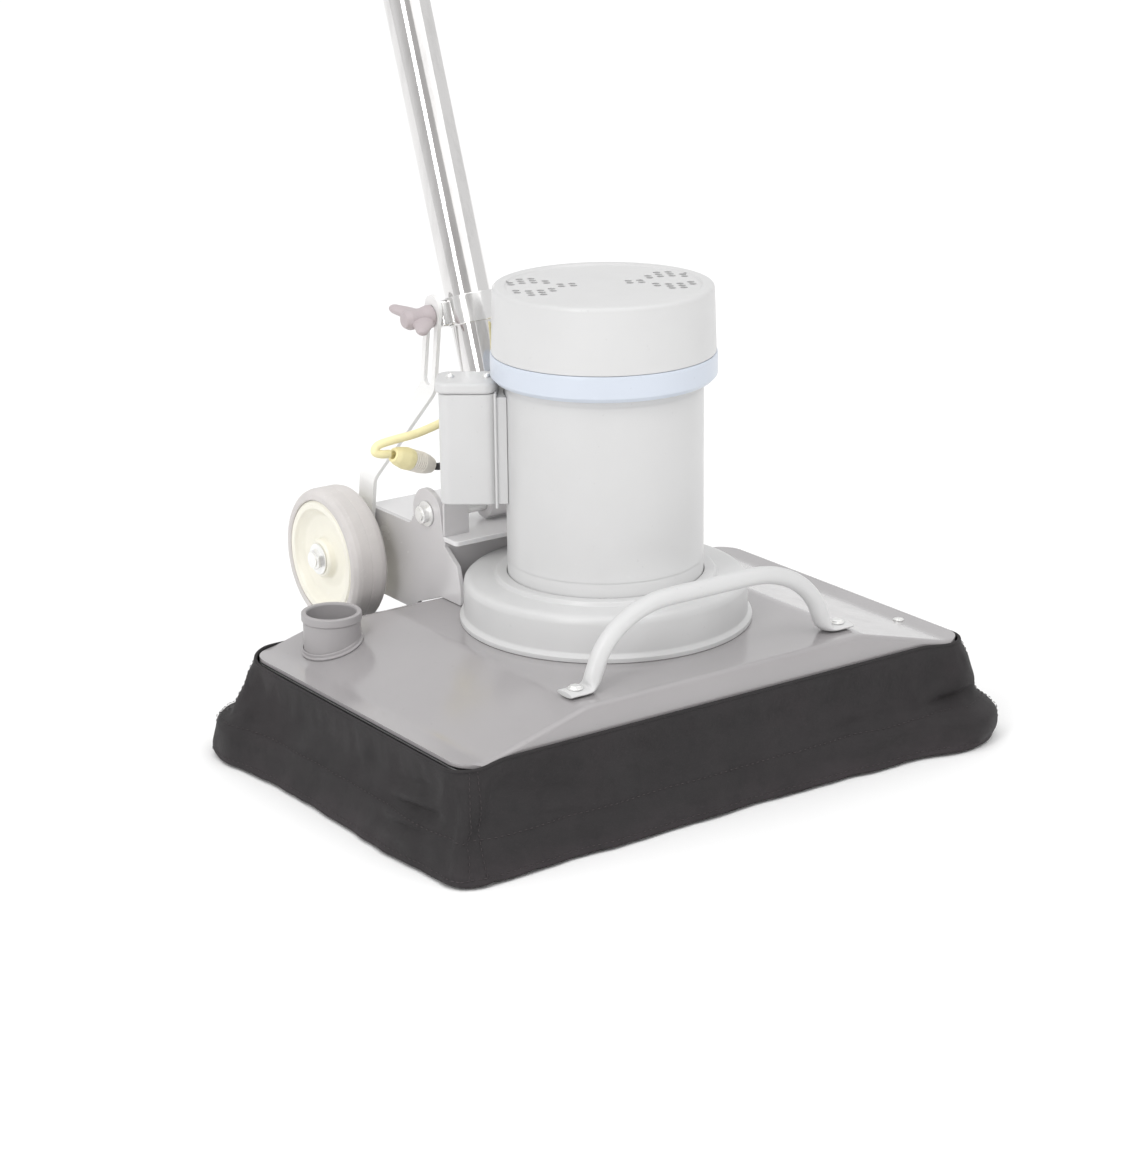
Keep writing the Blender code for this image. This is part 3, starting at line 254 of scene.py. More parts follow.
def paint(name, color, roughness, coat=0.0, peel=0.000018, scuff=0.10):
    """Sprayed enamel: orange peel, cloudy gloss, and faint scuffs and dust."""
    look = Look(name, color, roughness, Coat_Weight=coat, Coat_Roughness=0.12)
    look.shade(look.between(look.noise(7.0, 4), 0.35, 0.75), 0.07)
    marks = look.noise(38.0, 6, 0.7, stretch=(1.0, 0.22, 1.6), distortion=0.6)
    look.blend_color(
        look.between(marks, 0.66, 0.74, 0.0, scuff), tuple(min(1.0, c * 1.25) for c in color)
    )
    look.blend_color(
        look.between(look.noise(240.0, 2), 0.70, 0.78, 0.0, 0.25), tuple(c * 0.72 for c in color)
    )
    look.roughness(look.noise(26.0, 5, 0.6), roughness - 0.07, roughness + 0.09)
    look.bump(look.noise(520.0, 2, 0.5), peel)
    return look.material


def moulded(name, color, roughness, grain=1500.0, depth=0.00002, **sockets):
    """Moulded plastic: a fine spark-eroded grain and handling marks."""
    look = Look(name, color, roughness, **sockets)
    look.shade(look.between(look.noise(14.0, 4), 0.35, 0.75), 0.10)
    look.blend_color(
        look.between(look.noise(90.0, 5, 0.7), 0.62, 0.72, 0.0, 0.22),
        tuple(min(1.0, c * 1.3 + 0.01) for c in color),
    )
    look.roughness(look.noise(45.0, 4, 0.6), roughness - 0.06, roughness + 0.10)
    look.bump(look.noise(grain, 2), depth)
    return look.material


def metal(name, color, roughness, lines=(1, 1, 1), depth=0.000006, stain=0.10):
    """Bare or plated metal: drawn or turned lines, and a cloudy surface."""
    look = Look(name, color, roughness, 1.0)
    look.shade(look.between(look.noise(30.0, 5, 0.65), 0.40, 0.72), stain)
    drawn = look.noise(420.0, 3, 0.6, stretch=lines)
    look.roughness(look.noise(60.0, 5, 0.7), max(0.03, roughness - 0.06), roughness + 0.10)
    look.bump(drawn, depth)
    return look.material


def cloth():
    """Black coated cloth: a fine weave under the coat, mottled in random patches, dusty towards the hem."""
    look = Look(
        "black_fabric", srgb(46, 44, 45), 0.60,
        Sheen_Weight=0.03, Sheen_Roughness=0.5, Specular_IOR_Level=0.22,
    )
    weave = look.math(
        "MULTIPLY",
        look.math("MAXIMUM", look.wave(560.0, "X"), look.wave(560.0, "Y")),
        look.wave(620.0, "Z"),
    )
    look.blend_color(look.between(look.noise(11.0, 5, 0.6), 0.45, 0.75, 0.0, 0.55), srgb(56, 51, 53))
    look.blend_color(look.between(look.noise(70.0, 6, 0.75), 0.50, 0.80, 0.0, 0.45), srgb(30, 30, 31))
    look.blend_color(look.between(look.noise(900.0, 2, 0.7), 0.58, 0.80, 0.0, 0.30), srgb(84, 76, 79))
    dust = look.math("MULTIPLY", look.height_above(0.045, 0.0), look.noise(30.0, 5, 0.7))
    look.blend_color(look.between(dust, 0.25, 0.9, 0.0, 0.40), srgb(82, 73, 77))
    look.roughness(look.noise(24.0, 4), 0.55, 0.76)
    look.bump(weave, 0.00010)
    look.bump(look.noise(210.0, 4, 0.6), 0.00025)
    return look.material


def thread(name, color):
    look = Look(name, color, 0.7)
    look.shade(look.wave(900.0, "DIAGONAL"), 0.4)
    look.bump(look.wave(900.0, "DIAGONAL"), 0.0001)
    return look.material


def rubber(name, color, roughness, depth=0.00006):
    look = Look(name, color, roughness)
    look.shade(look.between(look.noise(16.0, 5, 0.6), 0.38, 0.72), 0.12)
    look.blend_color(
        look.between(look.noise(300.0, 3, 0.7), 0.60, 0.75, 0.0, 0.30),
        tuple(min(1.0, c * 1.25 + 0.01) for c in color),
    )
    look.roughness(look.noise(40.0, 4), roughness - 0.06, min(0.95, roughness + 0.08))
    look.bump(look.noise(700.0, 3, 0.6), depth)
    return look.material


def fibre(name, color):
    look = Look(name, color, 0.92)
    strands = look.noise(260.0, 6, 0.8, stretch=(1, 1, 2.2), distortion=1.4)
    look.shade(look.between(strands, 0.40, 0.60), 0.55)
    look.blend_color(
        look.between(look.noise(420.0, 3, 0.7), 0.60, 0.75, 0.0, 0.5), tuple(min(1, c * 1.6) for c in color)
    )
    look.bump(strands, 0.0012)
    return look.material


def windings(name, color):
    look = Look(name, color, 0.35, 0.85)
    turns = look.wave(300.0, "Z", 1.5)
    look.shade(turns, 0.45)
    look.bump(turns, 0.0004)
    return look.material


def make_looks():
    chrome = Look("chrome", (0.80, 0.79, 0.785), 0.07, 1.0)
    chrome.shade(chrome.between(chrome.noise(55.0, 5, 0.7, stretch=(1, 1, 0.15)), 0.45, 0.75), 0.16)
    chrome.roughness(chrome.noise(120.0, 4, 0.7, stretch=(1, 1, 0.2)), 0.05, 0.13)
    chrome.bump(chrome.noise(800.0, 2, 0.5, stretch=(1, 1, 0.05)), 0.0000015)
    return {
        "grey_paint": paint("grey_paint", srgb(209, 209, 209), 0.38, 0.15),
        "deck_paint": paint("deck_paint", srgb(160, 157, 158), 0.16, 0.7, 0.000010, 0.06),
        "blue_plastic": paint("blue_plastic", srgb(204, 211, 222), 0.36, 0.1),
        "bracket_paint": paint("bracket_paint", srgb(210, 208, 209), 0.20, 0.7, 0.00001, 0.1),
        # Lighter copy of the bracket paint for the roof: painted highlight for the light that the roof's top
        # catches from above.
        "roof_enamel_painted_highlight": paint("roof_enamel_painted_highlight", srgb(234, 233, 234), 0.20, 0.7, 0.00001, 0.1),
        "black_fabric": cloth(),
        "chrome": chrome.material,
        "zinc": metal("zinc", (0.93, 0.93, 0.92), 0.42, (1, 1, 0.2), 0.000003, 0.04),
        # Near-white enamel instead of plated metal for the tilt strap: painted reflection, standing in for the
        # bright sheen of its zinc plating.
        "strap_enamel_painted_reflection": paint("strap_enamel_painted_reflection", srgb(244, 244, 243), 0.40, 0.3, 0.000008, 0.05),
        "satin_chrome": metal("satin_chrome", (0.86, 0.855, 0.85), 0.18, (1, 1, 0.2), 0.000003, 0.06),
        "steel": metal("steel", (0.56, 0.56, 0.57), 0.34, (1, 1, 0.1), 0.00001),
        "aluminium": metal("aluminium", (0.74, 0.74, 0.75), 0.40, (1, 1, 1), 0.00004, 0.18),
        "cast_iron": rubber("cast_iron", (0.14, 0.14, 0.14), 0.62, 0.0003),
        "copper": windings("copper", (0.72, 0.38, 0.22)),
        "port_plastic": moulded("port_plastic", srgb(166, 163, 164), 0.42),
        "black_plastic": moulded("black_plastic", srgb(78, 76, 77), 0.48),
        "tyre_rubber": rubber("tyre_rubber", srgb(212, 208, 206), 0.74),
        "cream_plastic": moulded("cream_plastic", srgb(246, 243, 230), 0.34, Coat_Weight=0.2),
        "knob_plastic": moulded("knob_plastic", srgb(190, 180, 182), 0.42),
        "yellow_lead": rubber("yellow_lead", srgb(250, 240, 188), 0.46, 0.00003),
        "red_plastic": moulded("red_plastic", srgb(196, 112, 104), 0.36),
        "black_rubber": rubber("black_rubber", srgb(70, 69, 70), 0.72),
        "pad_fibre": fibre("pad_fibre", srgb(140, 62, 52)),
        "stitching": thread("stitching", srgb(70, 63, 65)),
        "lead_plug_plastic": moulded("lead_plug_plastic", srgb(232, 227, 217), 0.42),
    }


LOOKS = make_looks()


def floor():
    mesh = bpy.data.meshes.new("floor")
    ring = [(x, y, FLOOR_Z) for x, y in circle(0, 0, FLOOR_RADIUS, 64)]
    mesh.from_pydata(ring, [], [tuple(range(len(ring)))])
    look = Look("floor_paint", (0.98, 0.98, 0.98), 0.75)
    look.shade(look.between(look.noise(1.5, 4), 0.3, 0.8), 0.02)
    mesh.materials.append(look.material)
    add_to_scene("floor", mesh)


# ---------------------------------------------------------------- mesh helpers

def add_object(name, mesh, look=None):
    if look:
        mesh.materials.append(LOOKS[look])
    return add_to_scene(name, mesh)


def shade_smooth(mesh, smooth=True):
    mesh.polygons.foreach_set("use_smooth", [smooth] * len(mesh.polygons))


def finished(name, made):
    """What a bmesh holds, as a new mesh."""
    mesh = bpy.data.meshes.new(name)
    made.to_mesh(mesh)
    made.free()
    return mesh


def placed(at, turn):
    """The move that turns a piece about X, then Y, then Z, and takes it to a place."""
    return (
        Matrix.Translation(at) @ Matrix.Rotation(turn[2], 4, "Z") @ Matrix.Rotation(turn[1], 4, "Y")
        @ Matrix.Rotation(turn[0], 4, "X")
    )


def mesh_from(name, points, faces):
    """A mesh with its faces turned outwards and shaded smooth."""
    mesh = bpy.data.meshes.new(name)
    mesh.from_pydata([tuple(p) for p in points], [], faces)
    made = bmesh.new()
    made.from_mesh(mesh)
    bmesh.ops.recalc_face_normals(made, faces=made.faces)
    made.to_mesh(mesh)
    made.free()
    shade_smooth(mesh)
    return mesh


def settled(obj):
    """Applies the object's modifiers to its mesh."""
    graph = bpy.context.evaluated_depsgraph_get()
    mesh = bpy.data.meshes.new_from_object(obj.evaluated_get(graph))
    obj.modifiers.clear()
    old = obj.data
    obj.data = mesh
    bpy.data.meshes.remove(old)
    return obj


def cut(obj, *cutters, operation="DIFFERENCE"):
    """Takes the cutters out of the object and removes them."""
    for cutter in cutters:
        modifier = obj.modifiers.new("cut", "BOOLEAN")
        modifier.operation, modifier.solver, modifier.object = operation, "EXACT", cutter
    settled(obj)
    for cutter in cutters:
        bpy.data.objects.remove(cutter)
    return obj


def joined(name, look, *objects):
    """The objects' meshes as one object."""
    made = bmesh.new()
    for obj in objects:
        settled(obj)
        part = obj.data.copy()
        part.transform(obj.matrix_basis)
        made.from_mesh(part)
        bpy.data.meshes.remove(part)
        bpy.data.objects.remove(obj)
    mesh = finished(name, made)
    for polygon in mesh.polygons:
        polygon.material_index = 0
    return add_object(name, mesh, look)


def soften(obj, width=0.0006, segments=2, angle=35):
    """Rounded edges with flat faces kept flat."""
    shade_smooth(obj.data)
    return bevelled(obj, width, segments, angle)


def bevelled(obj, width, segments, angle):
    bevel = obj.modifiers.new("edges", "BEVEL")
    bevel.width, bevel.segments = width, segments
    bevel.limit_method, bevel.angle_limit = "ANGLE", math.radians(angle)
    return even_normals(obj)


def even_normals(obj):
    normals = obj.modifiers.new("normals", "WEIGHTED_NORMAL")
    normals.keep_sharp = True
    return obj


def rounded(points, default=0.0006, closed=True, count=3):
    """A profile with its corners rounded; a point's third number is its own radius."""
    made = []
    total = len(points)
    for i, point in enumerate(points):
        here = Vector(point[:2])
        radius = point[2] if len(point) > 2 else default
        if radius == 0 or here.x < 1e-6 or (not closed and i in (0, total - 1)):
            made.append(tuple(here))
            continue
        before = Vector(points[i - 1][:2]) - here
        after = Vector(points[(i + 1) % total][:2]) - here
        angle = before.angle(after)
        if angle > math.radians(176):
            made.append(tuple(here))
            continue
        reach = min(radius / math.tan(angle / 2), 0.45 * before.length, 0.45 * after.length)
        start, end = here + before.normalized() * reach, here + after.normalized() * reach
        for step in range(count + 1):
            t = step / count
            made.append(tuple(start * (1 - t) ** 2 + here * 2 * t * (1 - t) + end * t * t))
    return made


def turned(name, profile, look, steps=96, at=(0, 0, 0), turn=(0, 0, 0), corner=0.0006):
    """A profile of (radius, height) points turned about Z; it is closed unless it starts on the axis."""
    closed = profile[0][0] > 1e-6
    outline = rounded(profile, corner, closed)
    points, rings = [], []
    for r, z in outline:
        if r < 1e-6:
            rings.append([len(points)])
            points.append((0, 0, z))
            continue
        rings.append(list(range(len(points), len(points) + steps)))
        points += [
            (r * math.cos(math.tau * i / steps), r * math.sin(math.tau * i / steps), z)
            for i in range(steps)
        ]
    faces = []
    for a, b in zip(rings, rings[1:] + (rings[:1] if closed else [])):
        for i in range(steps):
            j = (i + 1) % steps
            if len(a) > 1 and len(b) > 1:
                faces.append((a[i], a[j], b[j], b[i]))
            elif len(b) > 1:
                faces.append((a[0], b[j], b[i]))
            elif len(a) > 1:
                faces.append((a[i], a[j], b[0]))
    obj = add_object(name, mesh_from(name, points, faces), look)
    obj.data.transform(placed(at, turn))
    return even_normals(obj)


def arc(cx, cy, radius, start, end, count):
    """Points on an arc, angles in degrees."""
    return [
        (
            cx + radius * math.cos(math.radians(start + (end - start) * i / count)),
            cy + radius * math.sin(math.radians(start + (end - start) * i / count)),
        )
        for i in range(count + 1)
    ]


def circle(cx, cy, radius, count=32):
    return arc(cx, cy, radius, 0, 360, count)[:-1]


def rounded_rectangle(half_x, half_y, radius, count=8):
    outline = []
    for sx, sy, start in ((1, 1, 0), (-1, 1, 90), (-1, -1, 180), (1, -1, 270)):
        outline += arc(
            sx * (half_x - radius), sy * (half_y - radius), radius, start, start + 90, count
        )
    return outline


def plate(name, loops, thickness, look=None, at=(0, 0, 0), turn=(0, 0, 0)):
    """A flat outline in its own XY plane, with holes as further loops, thickness along its Z."""
    curve = bpy.data.curves.new(name, "CURVE")
    curve.dimensions = "2D"
    curve.fill_mode = "BOTH"
    curve.extrude = thickness / 2
    for loop in loops:
        spline = curve.splines.new("POLY")
        spline.points.add(len(loop) - 1)
        for point, (x, y) in zip(spline.points, loop):
            point.co = (x, y, 0, 1)
        spline.use_cyclic_u = True
    guide = add_to_scene(name + "_curve", curve)
    mesh = bpy.data.meshes.new_from_object(guide.evaluated_get(bpy.context.evaluated_depsgraph_get()))
    bpy.data.objects.remove(guide)
    bpy.data.curves.remove(curve)
    welded = bmesh.new()
    welded.from_mesh(mesh)
    bmesh.ops.remove_doubles(welded, verts=welded.verts, dist=0.000001)
    bmesh.ops.dissolve_limit(
        welded, angle_limit=math.radians(1), verts=welded.verts, edges=welded.edges,
        delimit={"NORMAL"},
    )
    bmesh.ops.recalc_face_normals(welded, faces=welded.faces)
    welded.transform(placed(at, turn))
    welded.to_mesh(mesh)
    welded.free()
    mesh.name = name
    mesh.materials.clear()
    return add_object(name, mesh, look)


def smooth_route(points, per_span=8):
    """A Catmull-Rom curve through the points."""
    route = [Vector(p) for p in points]
    route = [2 * route[0] - route[1], *route, 2 * route[-1] - route[-2]]
    made = []
    for a, b, c, d in zip(route, route[1:], route[2:], route[3:]):
        for step in range(per_span):
            t = step / per_span
            made.append(
                b + (c - a) * t / 2 + (2 * a - 5 * b + 4 * c - d) * t**2 / 2
                + (3 * b - a - 3 * c + d) * t**3 / 2
            )
    return [*made, route[-2]]


def sweep(name, path, size, look, sides=20, closed=False):
    """A bar along path; size(place) gives its half sizes across and along its own upward side."""
    path = [Vector(p) for p in path]
    count = len(path)
    if closed:
        ahead = [(path[(i + 1) % count] - path[i - 1]).normalized() for i in range(count)]
    else:
        ahead = [
            (path[min(i + 1, count - 1)] - path[max(i - 1, 0)]).normalized() for i in range(count)
        ]
    guess = Vector((0, 0, 1)) if abs(ahead[0].z) < 0.8 else Vector((0, 1, 0))
    across = ahead[0].cross(guess).normalized()
    points, faces = [], []
    for i, (here, forward) in enumerate(zip(path, ahead)):
        if i:
            across = ahead[i - 1].rotation_difference(forward) @ across
        across = (across - forward * across.dot(forward)).normalized()
        up = across.cross(forward)
        wide, tall = size(here)
        for k in range(sides):
            angle = math.tau * k / sides
            points.append(here + across * wide * math.cos(angle) + up * tall * math.sin(angle))
    spans = count if closed else count - 1
    for i in range(spans):
        a, b = i * sides, (i + 1) % count * sides
        for k in range(sides):
            j = (k + 1) % sides
            faces.append((a + k, a + j, b + j, b + k))
    if not closed:
        faces += [tuple(range(sides)), tuple(range(len(points) - sides, len(points)))]
    return add_object(name, mesh_from(name, points, faces), look)


def fit(obj, body, slot, *replaced):
    """Puts the piece on its CAD body and hides the CAD nodes it stands for; slot is not used."""
    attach(obj, body)
    if replaced:
        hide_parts(*replaced)
    return obj


# ---------------------------------------------------------------- CAD nodes that stay

def smoothing_group():
    """Welds a CAD mesh, drops its facet normals and shades it smooth between sharp edges."""
    group = bpy.data.node_groups.new("smooth_by_angle", "GeometryNodeTree")
    for way in ("INPUT", "OUTPUT"):
        group.interface.new_socket("Geometry", in_out=way, socket_type="NodeSocketGeometry")
    result = group.nodes.new("NodeGroupOutput")
    shape = add_node(group, "NodeGroupInput", 0, {})
    shape = add_node(
        group, "GeometryNodeMergeByDistance", "Geometry", {"Distance": 0.00002, "Geometry": shape}
    )
    shape = add_node(
        group, "GeometryNodeRemoveAttribute", "Geometry", {"Name": "custom_normal", "Geometry": shape}
    )
    shape = add_node(
        group, "GeometryNodeSetShadeSmooth", "Geometry", {"Shade Smooth": True, "Geometry": shape}
    )
    bend = add_node(group, "GeometryNodeInputMeshEdgeAngle", "Unsigned Angle", {})
    flat = add_node(
        group, "FunctionNodeCompare", "Result", {"A": bend, "B": math.radians(32)},
        data_type="FLOAT", operation="LESS_THAN",
    )
    shape = add_node(
        group, "GeometryNodeSetShadeSmooth", "Geometry", {"Shade Smooth": flat, "Geometry": shape},
        domain="EDGE",
    )
    group.links.new(shape, result.inputs[0])
    return group


SMOOTHING = smoothing_group()
ROUNDED_NODES = {"skirt_frame": 0.0004, "driver_plate": 0.001, "pad_holder": 0.0012, "counterweight": 0.001}


def finish_cad_nodes():
    for name, obj in NODES.items():
        obj.data.materials[0] = LOOKS[obj.data.materials[0].name.split(".")[0]]
        smooth = obj.modifiers.new("smooth", "NODES")
        smooth.node_group = SMOOTHING
        if name in ROUNDED_NODES:
            bevelled(obj, ROUNDED_NODES[name], 2, 40)


# ---------------------------------------------------------------- deck

def eased_min(a, b, width):
    """The smaller of two heights, with the crease between them rounded off."""
    share = max(0.0, min(1.0, 0.5 + (b - a) / (2 * width)))
    return b + (a - b) * share - width * share * (1 - share)


def deck_height(x, y):
    """Height of the deck's upper face: a flat middle, two sloping wings and a dropped rear edge."""
    slope = (DECK_EDGE_Z - PLATEAU_Z) / (SLOPE_END_X - PLATEAU_X)
    wing = PLATEAU_Z + slope * (abs(x) - PLATEAU_X)
    across = -eased_min(-eased_min(PLATEAU_Z, wing, 0.0016), -DECK_EDGE_Z, 0.0016)
    rear = PLATEAU_Z + (REAR_EDGE_Z - PLATEAU_Z) * (y - REAR_BREAK_Y) / (DECK_Y - REAR_BREAK_Y)
    return eased_min(across, rear, 0.0014)


def spread(low, high, step, *close):
    """Numbers from low to high about a step apart, with finer ones around the close values."""
    count = round((high - low) / step)
    values = {round(low + (high - low) * i / count, 5) for i in range(count + 1)}
    for middle in close:
        values |= {round(middle + 0.0016 * i, 5) for i in range(-6, 7) if low < middle + 0.0016 * i < high}
    ordered = sorted(values)
    kept = [ordered[0]]
    for value in ordered[1:]:
        if value - kept[-1] > 0.0009:
            kept.append(value)
    return kept


def deck():
    margin, bend = 0.002, 0.0046
    columns = spread(
        -DECK_X - margin, DECK_X + margin, 0.007, -SLOPE_END_X, -PLATEAU_X, PLATEAU_X, SLOPE_END_X
    )
    rows = [("apron", APRON_FOOT_Z)] + [("bend", angle) for angle in range(0, 91, 15)]
    rows += [("top", y) for y in spread(-DECK_Y + bend + 0.003, DECK_Y + margin, 0.007, REAR_BREAK_Y)]
    points = []
    for kind, value in rows:
        for x in columns:
            front = deck_height(x, -DECK_Y + bend)
            if kind == "apron":
                points.append((x, -DECK_Y, value))
            elif kind == "bend":
                angle = math.radians(value)
                points.append((
                    x, -DECK_Y + bend * (1 - math.cos(angle)), front - bend * (1 - math.sin(angle))
                ))
            else:
                points.append((x, value, deck_height(x, value)))
    width = len(columns)
    faces = [
        (a, a + 1, a + 1 + width, a + width)
        for row in range(len(rows) - 1)
        for a in range(row * width, row * width + width - 1)
    ]
    mesh = bpy.data.meshes.new("deck")
    mesh.from_pydata(points, [], faces)
    obj = add_object("deck", mesh, "deck_paint")
    sheet = obj.modifiers.new("sheet", "SOLIDIFY")
    sheet.thickness = PLATE
    sheet.offset = -1
    settled(obj)
    trim = plate(
        "deck_trim", [rounded_rectangle(DECK_X, DECK_Y + 0.0005, DECK_CORNER + 0.004, 14)], 0.2,
        at=(0, 0, DECK_EDGE_Z),
    )
    cut(obj, trim, operation="INTERSECT")
    cut(
        obj, drill("shaft_hole", 0.030, 0.08, 0.15, 48, MOTOR_AT),
        drill("port_hole", 0.0271, 0.07, 0.15, 48, PORT_AT),
    )
    soften(obj, 0.0008, 2, 50)
    fit(obj, "deck", "deck_paint", "deck_plate")


def drill(name, radius, low, high, steps, at=(0, 0, 0), turn=(0, 0, 0)):
    """A round cutter."""
    return turned(name, [(0, high), (radius, high), (radius, low), (0, low)], None, steps, at, turn)


def hex_bolt(name, at, size, look="zinc", turn=(0, 0, 0), washer=1.45):
    """A flanged hexagon head standing on its washer; at is the middle of the washer's foot."""
    head = 0.62 * size
    disc = turned(
        name + "_washer",
        [(0, 0.0014), (size * washer, 0.0014), (size * washer, 0), (0, 0)], None, 40, corner=0.0004,
    )
    hexagon = turned(
        name + "_head",
        [(0, head), (size * 0.80, head), (size, head * 0.84), (size, 0.0010), (0, 0.0010)],
        None, 6, corner=0.0,
    )
    hexagon.modifiers.clear()
    shade_smooth(hexagon.data, False)
    made = joined(name, look, disc, hexagon)
    made.data.transform(placed(at, turn))
    return made


def domed_bolt(name, at, radius, look="zinc", turn=(0, 0, 0)):
    """A low dome with a recess in it, on a thin flange."""
    return turned(
        name,
        [
            (0, 0.55 * radius), (0.30 * radius, 0.55 * radius, 0), (0.36 * radius, 0.85 * radius),
            (0.62 * radius, 0.88 * radius, 0.0010), (0.92 * radius, 0.48 * radius, 0.0010),
            (radius, 0.24 * radius), (radius, 0), (0, 0),
        ],
        look, 40, at, turn, 0.0003,
    )


def deck_fittings():
    bolt = hex_bolt("wing_bolt", (0.2600, -0.1090, DECK_EDGE_Z), 0.0036)
    fit(bolt, "deck", "zinc")
    slope = math.atan2(PLATEAU_Z - DECK_EDGE_Z, SLOPE_END_X - PLATEAU_X)
    port = turned(
        "port_spigot",
        [
            (0.0280, 0.1395, 0.0012), (0.0280, 0.1325), (0.0266, 0.1308), (0.0265, 0.090),
            (0.0230, 0.090), (0.0230, 0.1380), (0.0238, 0.1395),
        ],
        "port_plastic", 96, PORT_AT,
    )
    seat = turned(
        "port_flange",
        [
            (0.0295, 0.0016, 0.0008), (0.0295, 0.0), (0.0266, 0.0), (0.0266, 0.0055, 0.002),
            (0.0276, 0.0048, 0.0015), (0.0280, 0.0022, 0.0010),
        ],
        "port_plastic", 96,
    )
    lift = deck_height(PORT_AT.x, 0) + 0.0003
    seat.data.transform(Matrix.Translation((PORT_AT.x, PORT_AT.y, lift)) @ Matrix.Rotation(-slope, 4, "Y"))
    fit(port, "deck", "port_plastic", "vacuum_port")
    fit(seat, "deck", "port_plastic")


def grab_handle():
    foot, top = PLATEAU_Z + 0.0031, 0.1935
    rise = top - foot
    side = [(-0.1575, foot), (-0.1490, foot), (-0.1400, foot)]
    side += [(-0.1335, foot + 0.0012), (-0.1292, foot + 0.0062)]
    side += [
        (-0.045 - 0.0825 * math.cos(math.radians(a)), foot + rise * math.sin(math.radians(a)))
        for a in (14, 24, 35, 46, 57, 68, 79, 90)
    ]
    path = side + [(-0.022, top), (0.0, top), (0.022, top)] + [(-x, z) for x, z in reversed(side)]
    route = smooth_route([(x, GRAB_Y, z) for x, z in path], 7)

    def size(point):
        flat = max(0.0, min(1.0, (abs(point.x) - 0.1262) / 0.0100))
        flat = flat * flat * (3 - 2 * flat)
        return GRAB_R + (0.0112 - GRAB_R) * flat, GRAB_R + (0.0027 - GRAB_R) * flat

    bar = sweep("grab_handle_bar", route, size, "grey_paint", 36)
    bevelled(bar, 0.0010, 2, 60)
    fit(bar, "deck", "grey_paint", "grab_handle")
    for name, sx in (("left", -1), ("right", 1)):
        bolt = hex_bolt("grab_screw_" + name, (sx * 0.1460, GRAB_Y, foot + 0.0027), 0.0052, washer=1.3)
        fit(bolt, "deck", "zinc", "grab_bolt_" + name)


# ---------------------------------------------------------------- motor

VENTS_OFF, VENTS_TURN, VENT_R = Vector((0.004, 0.009, 0)), math.radians(-24.8), 0.0035
BOX_TURN = math.radians(143.1)


def motor():
    foot = PLATEAU_Z + 0.0003
    parts = (
        ("motor_drum", "motor_base", "grey_paint", [
            (BARREL_R + 0.0007, 0.1710), (BARREL_R + 0.0107, 0.1710, 0.0022),
            (BARREL_R + 0.0129, 0.1668, 0.0020), (BASE_R, 0.1665, 0.0085), (BASE_R, foot + 0.0070, 0.0030),
            (BASE_R + 0.0040, foot + 0.0042, 0.0012), (BASE_R + 0.0040, foot), (0.050, foot), (0.050, 0.1588),
            (0.078, 0.1588), (0.078, 0.1625), (BARREL_R + 0.0007, 0.1625),
        ]),
        ("motor_can", "motor_barrel", "grey_paint", [
            (BARREL_R, 0.3995), (BARREL_R, 0.3470, 0), (BARREL_R - 0.0007, 0.3462, 0), (BARREL_R, 0.3454, 0),
            (BARREL_R, 0.1848, 0), (BARREL_R - 0.0008, 0.1840, 0), (BARREL_R, 0.1832, 0), (BARREL_R, 0.1628),
            (BARREL_R - 0.004, 0.1628), (BARREL_R - 0.004, 0.3995),
        ]),
        ("motor_band", "band_ring", "blue_plastic", [
            (BAND_R - 0.0004, 0.3770, 0.0008), (BAND_R, 0.3745, 0.0010), (BAND_R, 0.3568, 0.0020),
            (BAND_R - 0.0036, 0.3530, 0.0012), (BARREL_R + 0.0006, 0.3530), (BARREL_R + 0.0006, 0.3770),
        ]),
        ("motor_cover", "fan_cover", "grey_paint", [
            (0, 0.4362), (0.0875, 0.4360, 0.0010), (0.0892, 0.4378, 0.0010), (COVER_R - 0.0012, 0.4376, 0.0042),
            (COVER_R - 0.0002, 0.4060, 0.01), (COVER_R + 0.0006, 0.3773), (COVER_R - 0.0025, 0.3773),
            (COVER_R - 0.0026, 0.4040, 0.01), (COVER_R - 0.0043, 0.4342, 0.0040), (0.0450, 0.4344, 0.03),
            (0, 0.4344),
        ]),
    )
    for name, node, look, profile in parts:
        part = turned(name, profile, look, 144, MOTOR_AT)
        if node == "fan_cover":
            even_normals(cut(part, cover_vents()))
        fit(part, "deck", look, node)


def cover_vents():
    """Two fields of round holes, one to each side, whose columns widen outwards and part in the middle."""
    holes = bmesh.new()
    axis = Matrix.Translation(MOTOR_AT + VENTS_OFF) @ Matrix.Rotation(VENTS_TURN, 4, "Z")
    pair, four, six = (-0.5, 0.5), (-2.5, -1.5, 1.5, 2.5), (-4, -3, -2, 2, 3, 4)
    for side in (-1, 1):
        for column, rows in enumerate((pair, pair, four, six, six, four)):
            for row in rows:
                place = Vector((side * (0.0258 + 0.0108 * column), row * 0.0085, 0.436))
                bmesh.ops.create_cone(
                    holes, cap_ends=True, segments=20, radius1=VENT_R, radius2=VENT_R, depth=0.02,
                    matrix=axis @ Matrix.Translation(place),
                )
    return add_object("cover_vents", finished("cover_vents", holes))


